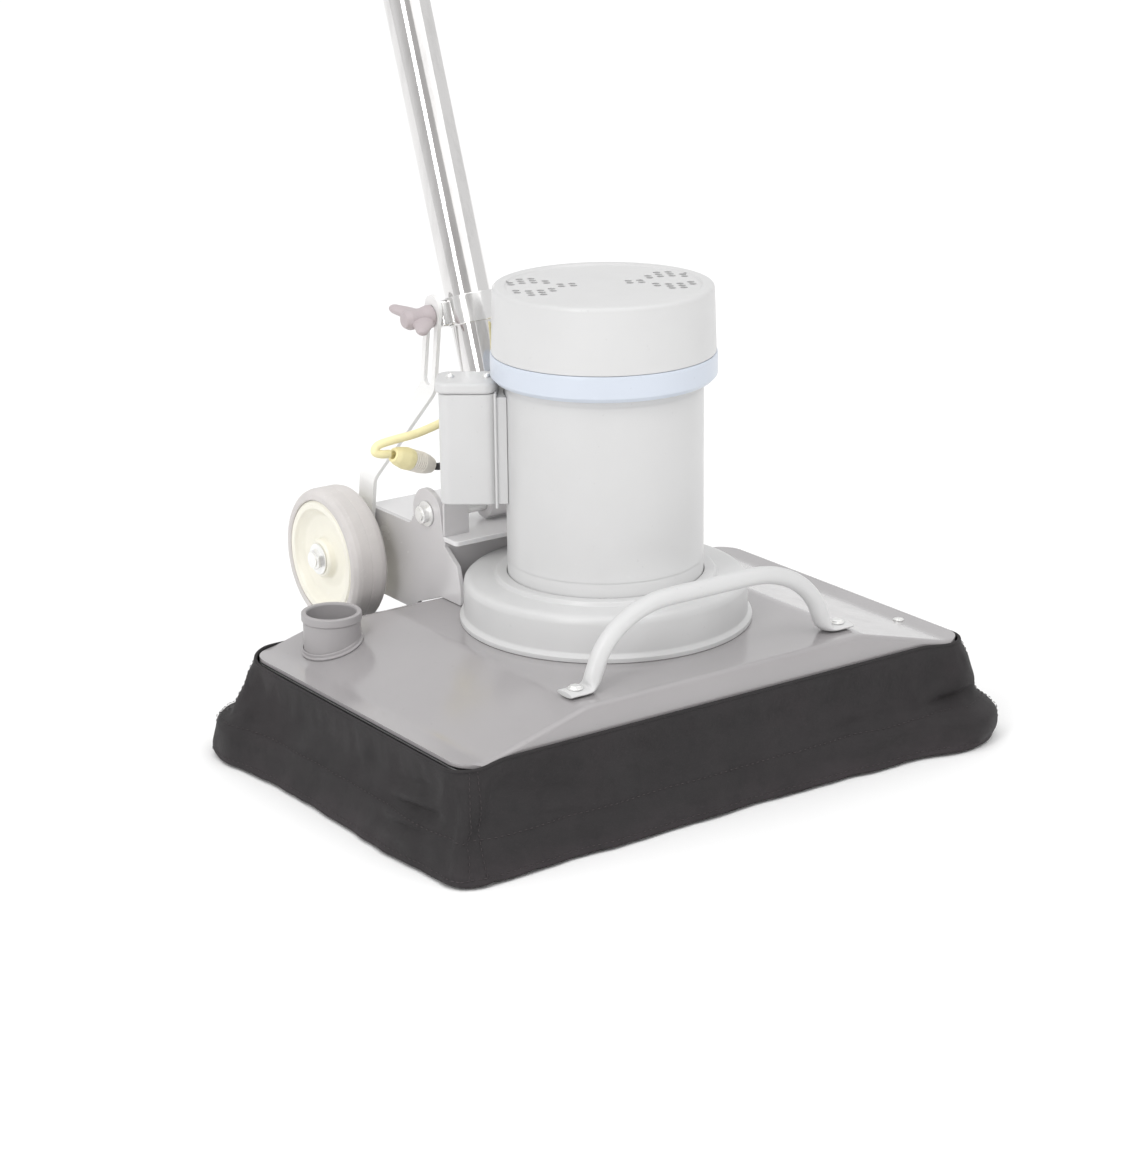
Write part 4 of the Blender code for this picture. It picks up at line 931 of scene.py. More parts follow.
def capacitor_box():
    """A box with rounded corners and a lid, on a saddle and a seat that fits against the barrel."""
    inner, outer, half, foot, top = 0.0965, 0.1497, 0.023, 0.238, 0.3415
    middle, reach, height = (inner + outer) / 2, (outer - inner) / 2, (foot + top) / 2
    edge = arc(0, 0, BARREL_R + 0.0004, -16.5, 16.5, 16)
    shapes = (
        ("shell", rounded_rectangle(reach, half, 0.010, 10), top - foot, (middle, 0, height), (0.0016, 3),
         ["capacitor_box"]),
        ("cap", rounded_rectangle(reach + 0.0015, half + 0.0015, 0.0115, 10), 0.0105,
         (middle + 0.0015, 0, top + 0.0003 + 0.00525), (0.0030, 4), ["capacitor_lid"]),
        ("saddle", rounded_rectangle(0.0013, half + 0.0055, 0.0012, 3), top - foot + 0.004,
         (inner + 0.0010, 0, height), (0.0006, 2), []),
        ("standoff", [*edge, (inner + 0.0004, edge[-1][1]), (inner + 0.0004, edge[0][1])], 0.100,
         (0, 0, height), (0.0006, 2), []),
    )
    place = Matrix.Translation(MOTOR_AT) @ Matrix.Rotation(BOX_TURN, 4, "Z")
    for name, loop, tall, at, edges, nodes in shapes:
        part = soften(plate("capacitor_" + name, [loop], tall, "grey_paint", at=at), *edges, 50)
        part.data.transform(place)
        fit(part, "deck", "grey_paint", *nodes)
    for index, side in enumerate((-0.0165, 0.0165)):
        screw = domed_bolt(f"lid_screw_{index}", (middle + side, 0, top + 0.0107), 0.0038)
        screw.data.transform(place)
        fit(screw, "deck", "zinc")


# ---------------------------------------------------------------- dust skirt

SKIRT_TOP_Z, SKIRT_FOOT_Z = 0.0985, 0.0022
SKIRT_FLARE, HEM_Z = 0.0262, 0.041
CLOTH_REACH = 0.007


def skirt_columns(step=0.006, per_corner=13):
    """(place, outward direction, distance) round the deck's edge, from the front left corner's middle."""
    corner = DECK_CORNER
    straight_x, straight_y = DECK_X - corner, DECK_Y - corner
    made, run = [], 0.0

    def round_corner(cx, cy, start, end, count):
        nonlocal run
        for i in range(count):
            angle = math.radians(start + (end - start) * i / count)
            out = Vector((math.cos(angle), math.sin(angle)))
            gone = run + math.radians(end - start) * corner * i / count
            made.append((Vector((cx, cy)) + corner * out, out, gone))
        run += math.radians(end - start) * corner

    def line(start, end, out):
        nonlocal run
        start, end = Vector(start), Vector(end)
        length = (end - start).length
        count = round(length / step)
        for i in range(count):
            made.append((start + (end - start) * i / count, Vector(out), run + length * i / count))
        run += length

    half = per_corner // 2
    round_corner(-straight_x, -straight_y, 225, 270, half)
    line((-straight_x, -DECK_Y), (straight_x, -DECK_Y), (0, -1))
    round_corner(straight_x, -straight_y, 270, 360, per_corner)
    line((DECK_X, -straight_y), (DECK_X, straight_y), (1, 0))
    round_corner(straight_x, straight_y, 0, 90, per_corner)
    line((straight_x, DECK_Y), (-straight_x, DECK_Y), (0, 1))
    round_corner(-straight_x, straight_y, 90, 180, per_corner)
    line((-DECK_X, straight_y), (-DECK_X, -straight_y), (-1, 0))
    round_corner(-straight_x, -straight_y, 180, 225, half)
    return made, run


def front(x):
    """Distance round the skirt of a point on its front."""
    return QUARTER * DECK_CORNER / 2 + x + DECK_X - DECK_CORNER


def left(y):
    """Distance round the skirt of a point on its left side, counted backwards from the corner."""
    return -(QUARTER * DECK_CORNER / 2) - (y + DECK_Y - DECK_CORNER)


# Folds that the cloth has kept: from (distance, z) to (distance, z), half width, height outwards.
FOLDS = (
    # left side, bunched against the corner seam
    ((left(-0.080), 0.0560), (-0.0120, 0.0720), 0.0040, -0.0052),
    ((left(-0.085), 0.0470), (-0.0100, 0.0610), 0.0036, 0.0062),
    ((left(-0.078), 0.0400), (-0.0120, 0.0520), 0.0032, -0.0060),
    ((left(-0.088), 0.0330), (-0.0100, 0.0440), 0.0034, 0.0062),
    ((left(-0.080), 0.0270), (-0.0120, 0.0365), 0.0032, -0.0056),
    ((left(-0.070), 0.0190), (-0.0100, 0.0270), 0.0044, 0.0044),
    # front, right of the seam
    ((front(-0.225), 0.0660), (front(-0.165), 0.0560), 0.0060, -0.0038),
    ((front(-0.215), 0.0520), (front(-0.140), 0.0420), 0.0055, 0.0048),
    ((front(-0.190), 0.0380), (front(-0.120), 0.0300), 0.0060, -0.0035),
    # front, towards the right corner
    ((front(0.225), 0.0400), (front(0.280), 0.0500), 0.0060, -0.0099),
    ((front(0.205), 0.0690), (front(0.214), 0.0480), 0.0062, 0.0054),
    ((front(0.130), 0.0270), (front(0.192), 0.0385), 0.0052, 0.0054),
    ((front(0.110), 0.0400), (front(0.170), 0.0500), 0.0070, -0.0035),
    ((front(0.245), 0.0640), (front(0.275), 0.0740), 0.0080, 0.0042),
    # middle of the front and the left side
    ((front(-0.040), 0.0760), (front(0.040), 0.0300), 0.0120, 0.0026),
    ((front(0.040), 0.0800), (front(0.100), 0.0350), 0.0110, -0.0022),
    ((left(0.020), 0.0620), (left(0.100), 0.0350), 0.0110, 0.0029),
    ((left(-0.060), 0.0800), (left(-0.010), 0.0450), 0.0110, -0.0022),
)
SEAMS = (0.0045, front(DECK_X - DECK_CORNER) + 0.024, front(0) + 0.95, left(0.1600) - 0.020)


def near_segment(point, start, end):
    """Distance from a point to a segment, and how far along it the nearest place is."""
    along = end - start
    share = max(0.0, min(1.0, (point - start).dot(along) / along.length_squared))
    return (point - start - along * share).length, share


def window(value, low, high, soft):
    """1 between low and high, easing to 0 over soft beyond them."""
    rise = max(0.0, min(1.0, (value - low + soft) / soft))
    fall = max(0.0, min(1.0, (high + soft - value) / soft))
    both = rise * fall
    return both * both * (3 - 2 * both)


# How far out the cloth stands at its corners, by share of the way down: the hem juts out there.
BOOT = (
    (0.0, 0.0022), (0.16, 0.0110), (0.50, 0.0190), (0.57, 0.0205), (0.67, 0.0415), (0.85, 0.0440),
    (1.0, 0.0410),
)
LEFT_BOOT = (
    (0.0, 0.0022), (0.20, 0.0120), (0.50, 0.0300), (0.56, 0.0330), (0.64, 0.0480), (0.85, 0.0500),
    (1.0, 0.0500),
)
SHARP = ((0.0, 0.0026), (0.45, 0.0170), (1.0, 0.0385))
CORNERS = (
    (front(DECK_X) - 0.008, BOOT, 0.048), (front(DECK_X) + 2 * DECK_Y - 0.030, BOOT, 0.048),
    (left(DECK_Y) - 0.002, LEFT_BOOT, 0.040), (0.0, SHARP, 0.011),
)


def eased(places, value):
    """A smooth curve through (value, result) places."""
    for (a, low), (b, high) in zip(places, places[1:]):
        if value <= b:
            share = (value - a) / (b - a)
            return low + (high - low) * share * share * (3 - 2 * share)
    return places[-1][1]


def skirt_point(base, out, run, total, down):
    """Place of the cloth at a share of the way down."""
    z = SKIRT_TOP_Z + (SKIRT_FOOT_Z - SKIRT_TOP_Z) * down
    signed = run if run < total * 0.62 else run - total
    away = 0.0022 + SKIRT_FLARE * down
    corner_near = min(
        abs(signed), abs(signed - front(DECK_X) + 0.005), abs(signed - left(DECK_Y) - 0.005),
        abs(signed - front(DECK_X) - 2 * DECK_Y),
    )
    step = 0.0085 * (0.35 + 0.65 * math.exp(-((corner_near / 0.085) ** 2)))
    if abs(signed) < 0.07:
        step *= 0.4 + 0.6 * abs(signed) / 0.07
    hem = max(0.0, min(1.0, (HEM_Z + 0.003 - z) / 0.007))
    away += step * hem * hem * (3 - 2 * hem)
    # on the left the cloth's top hangs a little below the deck's edge
    gap = window(signed, left(0.150), left(-0.165), 0.05)
    away += 0.0026 * gap * max(0.0, 1 - 2.2 * down)
    z -= 0.0068 * gap * max(0.0, 1 - 1.4 * down)
    away += 0.0050 * window(signed, left(0.120), left(-0.090), 0.06) * down * down
    # no picture shows the back and the right side: only the top's drop is repeated there
    hidden = window(signed, front(DECK_X) - 0.02, front(DECK_X) + 2 * DECK_Y + 2 * DECK_X - 0.06, 0.04)
    z -= 0.0042 * hidden * max(0.0, 1 - 1.4 * down)
    for place, cut_line, reach in CORNERS:
        near = math.exp(-(((signed - place) / reach) ** 2))
        away += (eased(cut_line, down) - away) * near
    here = Vector((signed, z))
    for start, end, width, height in FOLDS:
        distance, share = near_segment(here, Vector(start), Vector(end))
        if distance < 3 * width:
            along = math.sin(math.pi * (0.12 + 0.80 * share))
            away += height * math.exp(-((distance / width) ** 2)) * along
    for seam in SEAMS:
        if abs(signed - seam) < 0.006:
            away -= 0.0016 * math.exp(-(((signed - seam) / 0.0014) ** 2)) * min(1.0, 6 * down)
    angle = math.tau * run / total
    swing = Vector((4.0 * math.cos(angle), 4.0 * math.sin(angle), 6.0 * z))
    away += 0.0042 * noise.noise(swing * 1.3) * min(1.0, 1.6 * down)
    fine = Vector((14.0 * math.cos(angle), 14.0 * math.sin(angle), 38.0 * z))
    away += 0.0012 * noise.noise(fine) * min(1.0, 2.5 * down)
    z += 0.0014 * max(0.0, noise.noise(swing * 2.1)) * down
    return (*(base + out * away), z)


def hung_cloth(obj, width):
    """Lets the flared cloth settle from its top edge under its own weight, and keeps it near its cut."""
    before = np.array([tuple(v.co) for v in obj.data.vertices])
    top = obj.vertex_groups.new(name="top")
    top.add(list(range(2 * width)), 1.0, "REPLACE")
    bpy.ops.mesh.primitive_plane_add(size=2.0, location=(0, 0, 0.0008))
    ground = bpy.context.object
    ground.modifiers.new("collision", "COLLISION")
    ground.collision.thickness_outer = 0.001
    ground.collision.cloth_friction = 40
    modifier = obj.modifiers.new("cloth", "CLOTH")
    settings = {
        "quality": 6, "mass": 0.35, "tension_stiffness": 60, "compression_stiffness": 60,
        "shear_stiffness": 30, "bending_stiffness": 6, "shrink_min": -0.012,
        "vertex_group_mass": "top", "pin_stiffness": 20,
    }
    for setting, value in settings.items():
        setattr(modifier.settings, setting, value)
    modifier.collision_settings.distance_min = 0.001
    modifier.collision_settings.use_self_collision = False
    scene = bpy.context.scene
    for number in range(1, 19):
        scene.frame_set(number)
    graph = bpy.context.evaluated_depsgraph_get()
    after = np.array([tuple(v.co) for v in obj.evaluated_get(graph).data.vertices])
    obj.modifiers.clear()
    obj.vertex_groups.clear()
    bpy.data.objects.remove(ground)
    scene.frame_set(1)
    move = after - before
    far = np.linalg.norm(move, axis=1, keepdims=True)
    move *= np.minimum(1.0, CLOTH_REACH / np.maximum(far, 1e-9))
    after = before + move
    after[:, 2] = np.maximum(after[:, 2], 0.0018)
    for vertex, place in zip(obj.data.vertices, after):
        vertex.co = place


def ring_faces(rows, width):
    """Faces between rows of points that each run once round."""
    return [
        (row + k, row + (k + 1) % width, row + width + (k + 1) % width, row + width + k)
        for row in range(0, (rows - 1) * width, width)
        for k in range(width)
    ]


def dust_skirt():
    columns, total = skirt_columns()
    rows = 20
    points = [
        skirt_point(base, out, run, total, row / (rows - 1))
        for row in range(rows)
        for base, out, run in columns
    ]
    width = len(columns)
    cloth = mesh_from("skirt_cloth", points, ring_faces(rows, width))
    skirt = add_object("skirt_cloth", cloth, "black_fabric")
    hung_cloth(skirt, width)
    grid = [v.co.copy() for v in skirt.data.vertices]
    finer = skirt.modifiers.new("finer", "SUBSURF")
    finer.levels = finer.render_levels = 1
    settled(skirt)
    thick = skirt.modifiers.new("thickness", "SOLIDIFY")
    thick.thickness = 0.0016
    thick.offset = 0
    shade_smooth(skirt.data)
    settled(skirt)
    extras = [
        piping(grid[:width]), *seam_stitches(grid, columns, width, rows), hem_stitches(grid, width, rows),
    ]
    fit(skirt, "deck", "black_fabric", "dust_skirt")
    for extra in extras:
        fit(extra, "deck", "black_fabric")


def piping(edge):
    """A corded edge sewn along the skirt's top."""
    path = [
        point + Vector((point.x, point.y, 0)).normalized() * 0.0002 + Vector((0, 0, -0.0004)) for point in edge
    ]
    return sweep("skirt_piping", path, lambda point: (0.0017, 0.0017), "black_fabric", 12, True)


def stitch(made, start, end, out, thick=0.00042):
    """One stitch: a short flattened thread that dips into the cloth at both ends."""
    along = end - start
    across = along.cross(out).normalized()
    rings = []
    places = ((0.0, -0.0003, 0.5), (0.2, 0.5, 1.0), (0.5, 0.8, 1.0), (0.8, 0.5, 1.0), (1.0, -0.0003, 0.5))
    for share, lift, wide in places:
        middle = start + along * share + out * thick * lift
        rings.append([
            made.verts.new(
                middle + across * thick * wide * math.cos(a) + out * thick * 0.8 * wide * math.sin(a)
            )
            for a in (math.tau * k / 6 for k in range(6))
        ])
    for a, b in zip(rings, rings[1:]):
        for k in range(6):
            made.faces.new((a[k], a[(k + 1) % 6], b[(k + 1) % 6], b[k]))
    made.faces.new(rings[0])
    made.faces.new(rings[-1])


def stitched(name, look, runs, length=0.0030, gap=0.0016):
    """Rows of stitches; every run is a list of (place, outward direction)."""
    made = bmesh.new()
    for run in runs:
        left_over = 0.0
        for (a, out), (b, _) in zip(run, run[1:]):
            span = (b - a).length
            if span < 1e-6:
                continue
            at = left_over
            while at + length < span:
                stitch(made, a.lerp(b, at / span), a.lerp(b, (at + length) / span), out)
                at += length + gap
            left_over = max(0.0, at - span)
    bmesh.ops.recalc_face_normals(made, faces=made.faces)
    mesh = finished(name, made)
    shade_smooth(mesh)
    return add_object(name, mesh, look)


def cloth_out(grid, width, row, column):
    """Outward direction of the cloth at a grid point."""
    here = grid[row * width + column % width]
    beside = grid[row * width + (column + 1) % width] - here
    below = grid[(row + 1) * width + column % width] - here
    out = below.cross(beside).normalized()
    flat = Vector((here.x, here.y, 0))
    return out if out.dot(flat) > 0 else -out


def seam_stitches(grid, columns, width, rows):
    """A pair of stitch rows beside every corner seam."""
    made = []
    total = columns[-1][2] + 0.003
    for number, seam in enumerate(SEAMS):
        at = seam % total
        nearest = min(range(width), key=lambda k: abs(columns[k][2] - at))
        runs = []
        for offset in (-1, 1):
            k = (nearest + offset) % width
            outs = [cloth_out(grid, width, row, k) for row in range(rows - 1)]
            runs.append([(grid[row * width + k] + out * 0.0009, out) for row, out in enumerate(outs)])
        made.append(stitched(f"seam_stitches_{number}", "stitching", runs))
    return made


def hem_stitches(grid, width, rows):
    runs = []
    for z in (HEM_Z - 0.0045, 0.0075):
        run = []
        for k in range(width + 1):
            column = [grid[row * width + k % width] for row in range(rows)]
            row = next((i for i in range(rows - 1) if column[i].z >= z > column[i + 1].z), rows - 2)
            out = cloth_out(grid, width, row, k)
            share = (column[row].z - z) / max(1e-6, column[row].z - column[row + 1].z)
            run.append((column[row].lerp(column[row + 1], max(0.0, min(1.0, share))) + out * 0.0009, out))
        runs.append(run)
    return stitched("hem_stitches", "stitching", runs)


# ---------------------------------------------------------------- rear bracket and wheels

FACING_X = (QUARTER, 0, QUARTER)


def rear_bracket():
    low, rear_low = PLATEAU_Z + 0.0006, REAR_EDGE_Z + 0.0006
    outline = [
        (0.1072, low), (0.1072, 0.1450), (0.1125, 0.1620), (0.1335, 0.1770),
        *arc(PIVOT.y, PIVOT.z, 0.0245, 185, -15, 24),
        (0.1890, 0.1925), (0.1915, 0.1885), (0.1960, ROOF_Z), (0.2745, ROOF_Z),
        *arc(0.2745, ROOF_Z - 0.010, 0.010, 80, 30, 4),
        *arc(AXLE_Y, AXLE_Z, 0.030, 36, -78, 16),
        (0.2475, 0.1003), (0.1985, 0.1000), (DECK_Y + 0.0045, 0.1010), (DECK_Y + 0.0010, rear_low),
        (REAR_BREAK_Y, low),
    ]
    holes = [circle(PIVOT.y, PIVOT.z, 0.0064), circle(AXLE_Y, AXLE_Z, 0.0083)]
    sides = [
        plate(
            f"bracket_side_{i}", [outline, *holes], BRACKET_WALL,
            at=(sx * (BRACKET_X - BRACKET_WALL / 2), 0, 0), turn=FACING_X,
        )
        for i, sx in enumerate((-1, 1))
    ]
    reach = BRACKET_X - 0.0005
    # The roof takes a lighter paint than the side plates: painted highlight for light falling on its top.
    roof = plate(
        "bracket_roof", [rounded_rectangle(reach, 0.0805, 0.004, 4)], 0.005, "roof_enamel_painted_highlight",
        at=(0, 0.1935, ROOF_Z - 0.0027),
    )
    foot = plate(
        "bracket_foot", [rounded_rectangle(reach, 0.0100, 0.001, 2)], 0.005, at=(0, 0.1280, low + 0.0025)
    )
    front = plate(
        "bracket_front", [rounded_rectangle(reach, 0.0295, 0.001, 2)], 0.003, at=(0, 0.1345, low + 0.0295),
        turn=(QUARTER, 0, 0),
    )
    flanges = [
        plate(
            f"bracket_flange_{i}", [rounded_rectangle(0.0142, 0.0182, 0.004, 4)], 0.003,
            at=(sx * 0.0800, 0.1345, 0.2020), turn=(QUARTER, 0, 0),
        )
        for i, sx in enumerate((-1, 1))
    ]
    for part in (*sides, roof, foot, front, *flanges):
        soften(part, 0.0011, 3, 40)
    bracket = joined("rear_bracket", "bracket_paint", *sides, foot, front, *flanges)
    fit(bracket, "deck", "bracket_paint", "axle_bracket")
    fit(roof, "deck", "bracket_paint")
    for name, sx in (("left", -1), ("right", 1)):
        pivot = hex_bolt(
            "pivot_head_" + name, (sx * (BRACKET_X + 0.0003), PIVOT.y, PIVOT.z), 0.0085,
            turn=(0, sx * QUARTER, 0),
        )
        fit(pivot, "deck", "zinc")
        spacer = turned(
            "pivot_spacer_" + name,
            [
                (0.0062, 0.0313), (0.0078, 0.0313, 0.0006), (0.0078, 0.0600, 0.0002), (0.0076, 0.0603, 0.0002),
                (0.0078, 0.0606, 0.0002), (0.0078, 0.0892, 0.0006), (0.0062, 0.0892),
            ],
            "zinc", 64, (0, PIVOT.y, PIVOT.z), (0, sx * QUARTER, 0),
        )
        fit(spacer, "deck", "zinc")
        nut = hex_bolt(
            "axle_head_" + name, (sx * 0.1524, AXLE_Y, AXLE_Z), 0.0105, turn=(0, sx * QUARTER, 0)
        )
        fit(nut, "deck", "zinc", "axle_nut_" + name)


def wheel(side, sx):
    """A grey tyre on a dished hub. Profiles run from the outer face (local z = 0) to the inner one."""
    width, radius = 0.040, 0.068
    half_tyre = [
        (0.0571, -0.0018), (0.0582, -0.0010, 0.0006), (0.0630, -0.0012, 0.004), (0.0668, -0.0050, 0.004),
        (radius, -0.0095, 0.004), (radius, -0.0194, 0.0004), (radius - 0.0003, -0.0198, 0.0002),
    ]
    other_half = [(r, -width - z, *rest) for r, z, *rest in reversed(half_tyre)]
    tyre = turned(
        "tyre_" + side + "_tread", half_tyre + other_half, "tyre_rubber", 120, corner=0.0004,
    )
    face = [
        (0.0083, 0.0), (0.0172, 0.0, 0.0015), (0.0188, -0.0022, 0.0012), (0.0196, -0.0086, 0.0030),
        (0.0300, -0.0112, 0.008), (0.0420, -0.0092, 0.006), (0.0472, -0.0040, 0.003), (0.0492, -0.0012, 0.0012),
        (0.0545, -0.0010, 0.0012), (0.0567, -0.0030),
    ]
    back = [(r, -width - z, *rest) for r, z, *rest in reversed(face)]
    hub = turned("hub_" + side + "_disc", [*face, *back], "cream_plastic", 120, corner=0.0005)
    turn = Matrix.Translation((sx * 0.152, AXLE_Y, AXLE_Z)) @ Matrix.Rotation(sx * QUARTER, 4, "Y")
    tyre.data.transform(turn)
    hub.data.transform(turn)
    fit(tyre, side + "_wheel", "tyre_rubber", "tyre_" + side)
    fit(hub, side + "_wheel", "cream_plastic", "hub_" + side)


# ---------------------------------------------------------------- tilt strap, knob and lower handle

def tilt_strap():
    """A flat bar bent twice, built as a ribbon along its length with round ends and a long slot."""
    half_w, half_t = 0.0127, 0.0020
    slot_low, slot_high, slot_r, top = 0.1690, 0.2379, 0.0062, 0.2542
    low, high, out_x, in_x = 0.0796, 0.1590, -0.1000, -0.0363
    heights = spread(0.0, top - half_w, 0.004)
    outline = arc(0, top - half_w, half_w, 0, 180, 24)
    outline += [(-half_w, z) for z in reversed(heights)]
    outline += arc(0, 0, half_w, 180, 360, 24)[1:-1]
    outline += [(half_w, z) for z in heights]
    sides = spread(slot_low, slot_high, 0.004)[1:-1]
    slot = [
        *arc(0, slot_high, slot_r, 0, 180, 14), *[(-slot_r, z) for z in reversed(sides)],
        *arc(0, slot_low, slot_r, 180, 360, 14), *[(slot_r, z) for z in sides],
    ]
    # The strap is painted near-white rather than given the zinc metal: painted reflection of its plating's
    # sheen.
    strap = plate("strap_bar", [outline, slot, circle(0, 0, 0.0084)], 2 * half_t, "strap_enamel_painted_reflection")
    rib = bmesh.new()
    rib.from_mesh(strap.data)
    for z in np.arange(-0.008, top, 0.004):
        everything = rib.verts[:] + rib.edges[:] + rib.faces[:]
        bmesh.ops.bisect_plane(rib, geom=everything, plane_co=(0, float(z), 0), plane_no=(0, 1, 0))
    for vertex in rib.verts:
        y, z, thick = vertex.co.x, vertex.co.y, vertex.co.z
        slope = (in_x - out_x) / (high - low)
        middle = -eased_min(-out_x, -(out_x + slope * (z - low)), 0.0035)
        middle = eased_min(middle, in_x, 0.0035)
        lean = math.atan(slope) * window(z, low, high, 0.004)
        vertex.co = (middle + thick * math.cos(lean), y, z - thick * math.sin(lean))
    bmesh.ops.recalc_face_normals(rib, faces=rib.faces)
    rib.to_mesh(strap.data)
    rib.free()
    soften(strap, 0.0007, 2, 50)
    strap.data.transform(placed((0, AXLE_Y, AXLE_Z), (STRAP_LEAN, 0, 0)))
    fit(strap, "strap", "zinc", "tilt_strap")
    for index, x in enumerate((-0.1042, -0.0965)):
        washer = turned(
            f"strap_washer_{index}",
            [(0.0135, 0.0010), (0.0135, 0.0), (0.0084, 0.0), (0.0084, 0.0010)], "zinc", 48,
            (x, AXLE_Y, AXLE_Z), (0, QUARTER, 0), 0.0003,
        )
        fit(washer, "deck", "zinc")


def on_handle(obj):
    """Moves a piece made in the handle's own frame (along Z from the pivot) to its place."""
    obj.data.transform(HANDLE)
    return obj


def knob():
    """Two-winged clamp knob: a domed boss with a swept wing to each side."""
    tilt = math.radians(34.5)
    boss = turned(
        "knob_boss",
        [
            (0, 0.0310), (0.0070, 0.0302, 0.002), (0.0100, 0.0245, 0.003), (0.0096, 0.0110, 0.003),
            (0.0112, 0.0040, 0.001), (0.0112, 0.0), (0.0042, 0.0), (0.0042, -0.0160), (0, -0.0160),
        ],
        None, 64,
    )
    wings = []
    curve = ((0.0040, 0.0140), (0.0100, 0.0155), (0.0165, 0.0190), (0.0230, 0.0235), (0.0300, 0.0275))
    for index, sx in enumerate((-1, 1)):
        route = smooth_route([(sx * r, 0, z) for r, z in curve], 8)

        def size(point):
            r = abs(point.x)
            end = max(0.0, min(1.0, (r - 0.0235) / 0.0068))
            fall = math.sqrt(max(0.02, 1 - end * end))
            narrow = max(0.0, min(1.0, (r - 0.008) / 0.016))
            return (0.0050 - 0.0006 * narrow) * fall, (0.0118 - 0.0056 * narrow) * fall

        wings.append(sweep(f"knob_wing_{index}", route, size, None, 24))
    made = joined("clamp_knob", "knob_plastic", boss, *wings)
    made.data.transform(
        HANDLE @ Matrix.Translation((-0.0390, *CLAMP_AT)) @ Matrix.Rotation(-QUARTER, 4, "Y")
        @ Matrix.Rotation(QUARTER - tilt, 4, "Z")
    )
    even_normals(made)
    fit(made, "knob", "knob_plastic", "tilt_knob")


def lower_handle():
    radius, wall, low, high = TUBE_R, 0.0025, 0.0158, 0.905
    inner = radius - wall
    tube = turned(
        "chrome_tube", [(radius, high), (radius, low), (inner, low), (inner, high)], "chrome", 128
    )
    fit(on_handle(tube), "handle", "chrome", "handle_tube")
    sleeve = turned(
        "pivot_tube",
        [
            (0.0155, 0.0310, 0.0010), (0.0155, -0.0310, 0.0010), (0.0066, -0.0310), (0.0066, 0.0310),
        ],
        "bracket_paint", 96, turn=(0, QUARTER, 0),
    )
    fit(on_handle(sleeve), "handle", "bracket_paint", "pivot_sleeve")
    rear, up = CLAMP_AT
    collar = turned(
        "clamp_band",
        [
            (radius + 0.0025, up + 0.014, 0.0010), (radius + 0.0025, up - 0.014, 0.0010),
            (radius + 0.0003, up - 0.014), (radius + 0.0003, up + 0.014),
        ],
        None, 96,
    )
    ear = plate(
        "clamp_ear", [rounded_rectangle(0.0095, 0.0113, 0.004, 6)], 0.0255, at=(-0.0240, rear - 0.0015, up)
    )
    soften(ear, 0.0030, 4, 50)
    bore = drill("clamp_bore", radius + 0.0003, up - 0.02, up + 0.02, 96)
    stud = drill("stud_bore", 0.0043, -0.012, 0.012, 32, (-0.0280, rear, up), (0, QUARTER, 0))
    settled(ear)
    made = joined("clamp_collar", "satin_chrome", collar, cut(ear, bore, stud))
    even_normals(made)
    fit(on_handle(made), "handle", "zinc", "tilt_collar")


def leads():
    near, far = Vector((-0.1290, 0.1640, 0.2655)), Vector((-0.0840, 0.1690, 0.2465))
    along = (far - near).normalized()
    route = smooth_route(
        [
            (0.0150, 0.1915, 0.3700), (0.0140, 0.1780, 0.3560), (0.0040, 0.1560, 0.3350),
            (-0.0200, 0.1480, 0.3180), (-0.0480, 0.1470, 0.3040), (-0.0760, 0.1520, 0.2930),
            (-0.1040, 0.1580, 0.2840), (-0.1280, 0.1630, 0.2800), (-0.1440, 0.1650, 0.2770),
            (-0.1480, 0.1645, 0.2715), (-0.1420, 0.1630, 0.2685), near - 0.0045 * along,
        ],
        14,
    )
    lead = sweep("handle_lead_jacket", route, lambda point: (0.0040, 0.0040), "yellow_lead", 24)
    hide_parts("handle_lead")
    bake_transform(lead)
    tail = sweep(
        "motor_lead_jacket",
        smooth_route(
            [
                far + 0.0045 * along, (-0.0740, 0.1690, 0.2440), (-0.0620, 0.1620, 0.2470),
                (-0.0600, 0.1480, 0.2560), (-0.0680, 0.1330, 0.2650), (-0.0740, 0.1240, 0.2690),
                (-0.0800, 0.1120, 0.2715), (-0.0873, 0.1022, 0.2730),
            ],
            14,
        ),
        lambda point: (0.0035, 0.0035), "black_rubber", 20,
    )
    fit(tail, "deck", "black_rubber", "motor_lead")
    length = (far - near).length
    place = Matrix.Translation(near) @ along.to_track_quat("Z", "Y").to_matrix().to_4x4()
    ribs = []
    for k in range(5):
        z = 0.0240 + 0.0024 * k
        ribs += [(0.0105, z), (0.0099, z + 0.0005), (0.0099, z + 0.0012), (0.0105, z + 0.0017)]
    plug = turned(
        "lead_connector",
        [
            (0, length), (0.0072, length, 0.0008), (0.0092, length - 0.0060, 0.003), *reversed(ribs),
            (0.0105, 0.0225, 0.001), (0.0088, 0.0222), (0.0088, 0.0100), (0, 0.0100),
        ],
        "lead_plug_plastic", 72, corner=0.0002,
    )
    plug.data.transform(place)
    fit(plug, "deck", "knob_plastic", "lead_plug")
    boot = turned(
        "lead_boot",
        [
            (0.0089, 0.0220), (0.0104, 0.0220, 0.0008), (0.0108, 0.0150, 0.004), (0.0088, 0.0050, 0.004),
            (0.0066, 0.0, 0.0012), (0.0041, 0.0), (0.0041, 0.0090), (0.0089, 0.0098),
        ],
        "yellow_lead", 72, corner=0.0002,
    )
    boot.data.transform(place)
    fit(boot, "deck", "yellow_lead")


# ---------------------------------------------------------------- upper handle

LEVER_AT, GLAND_AT = (0, -0.030, 0.9150), (0.040, 0.015)


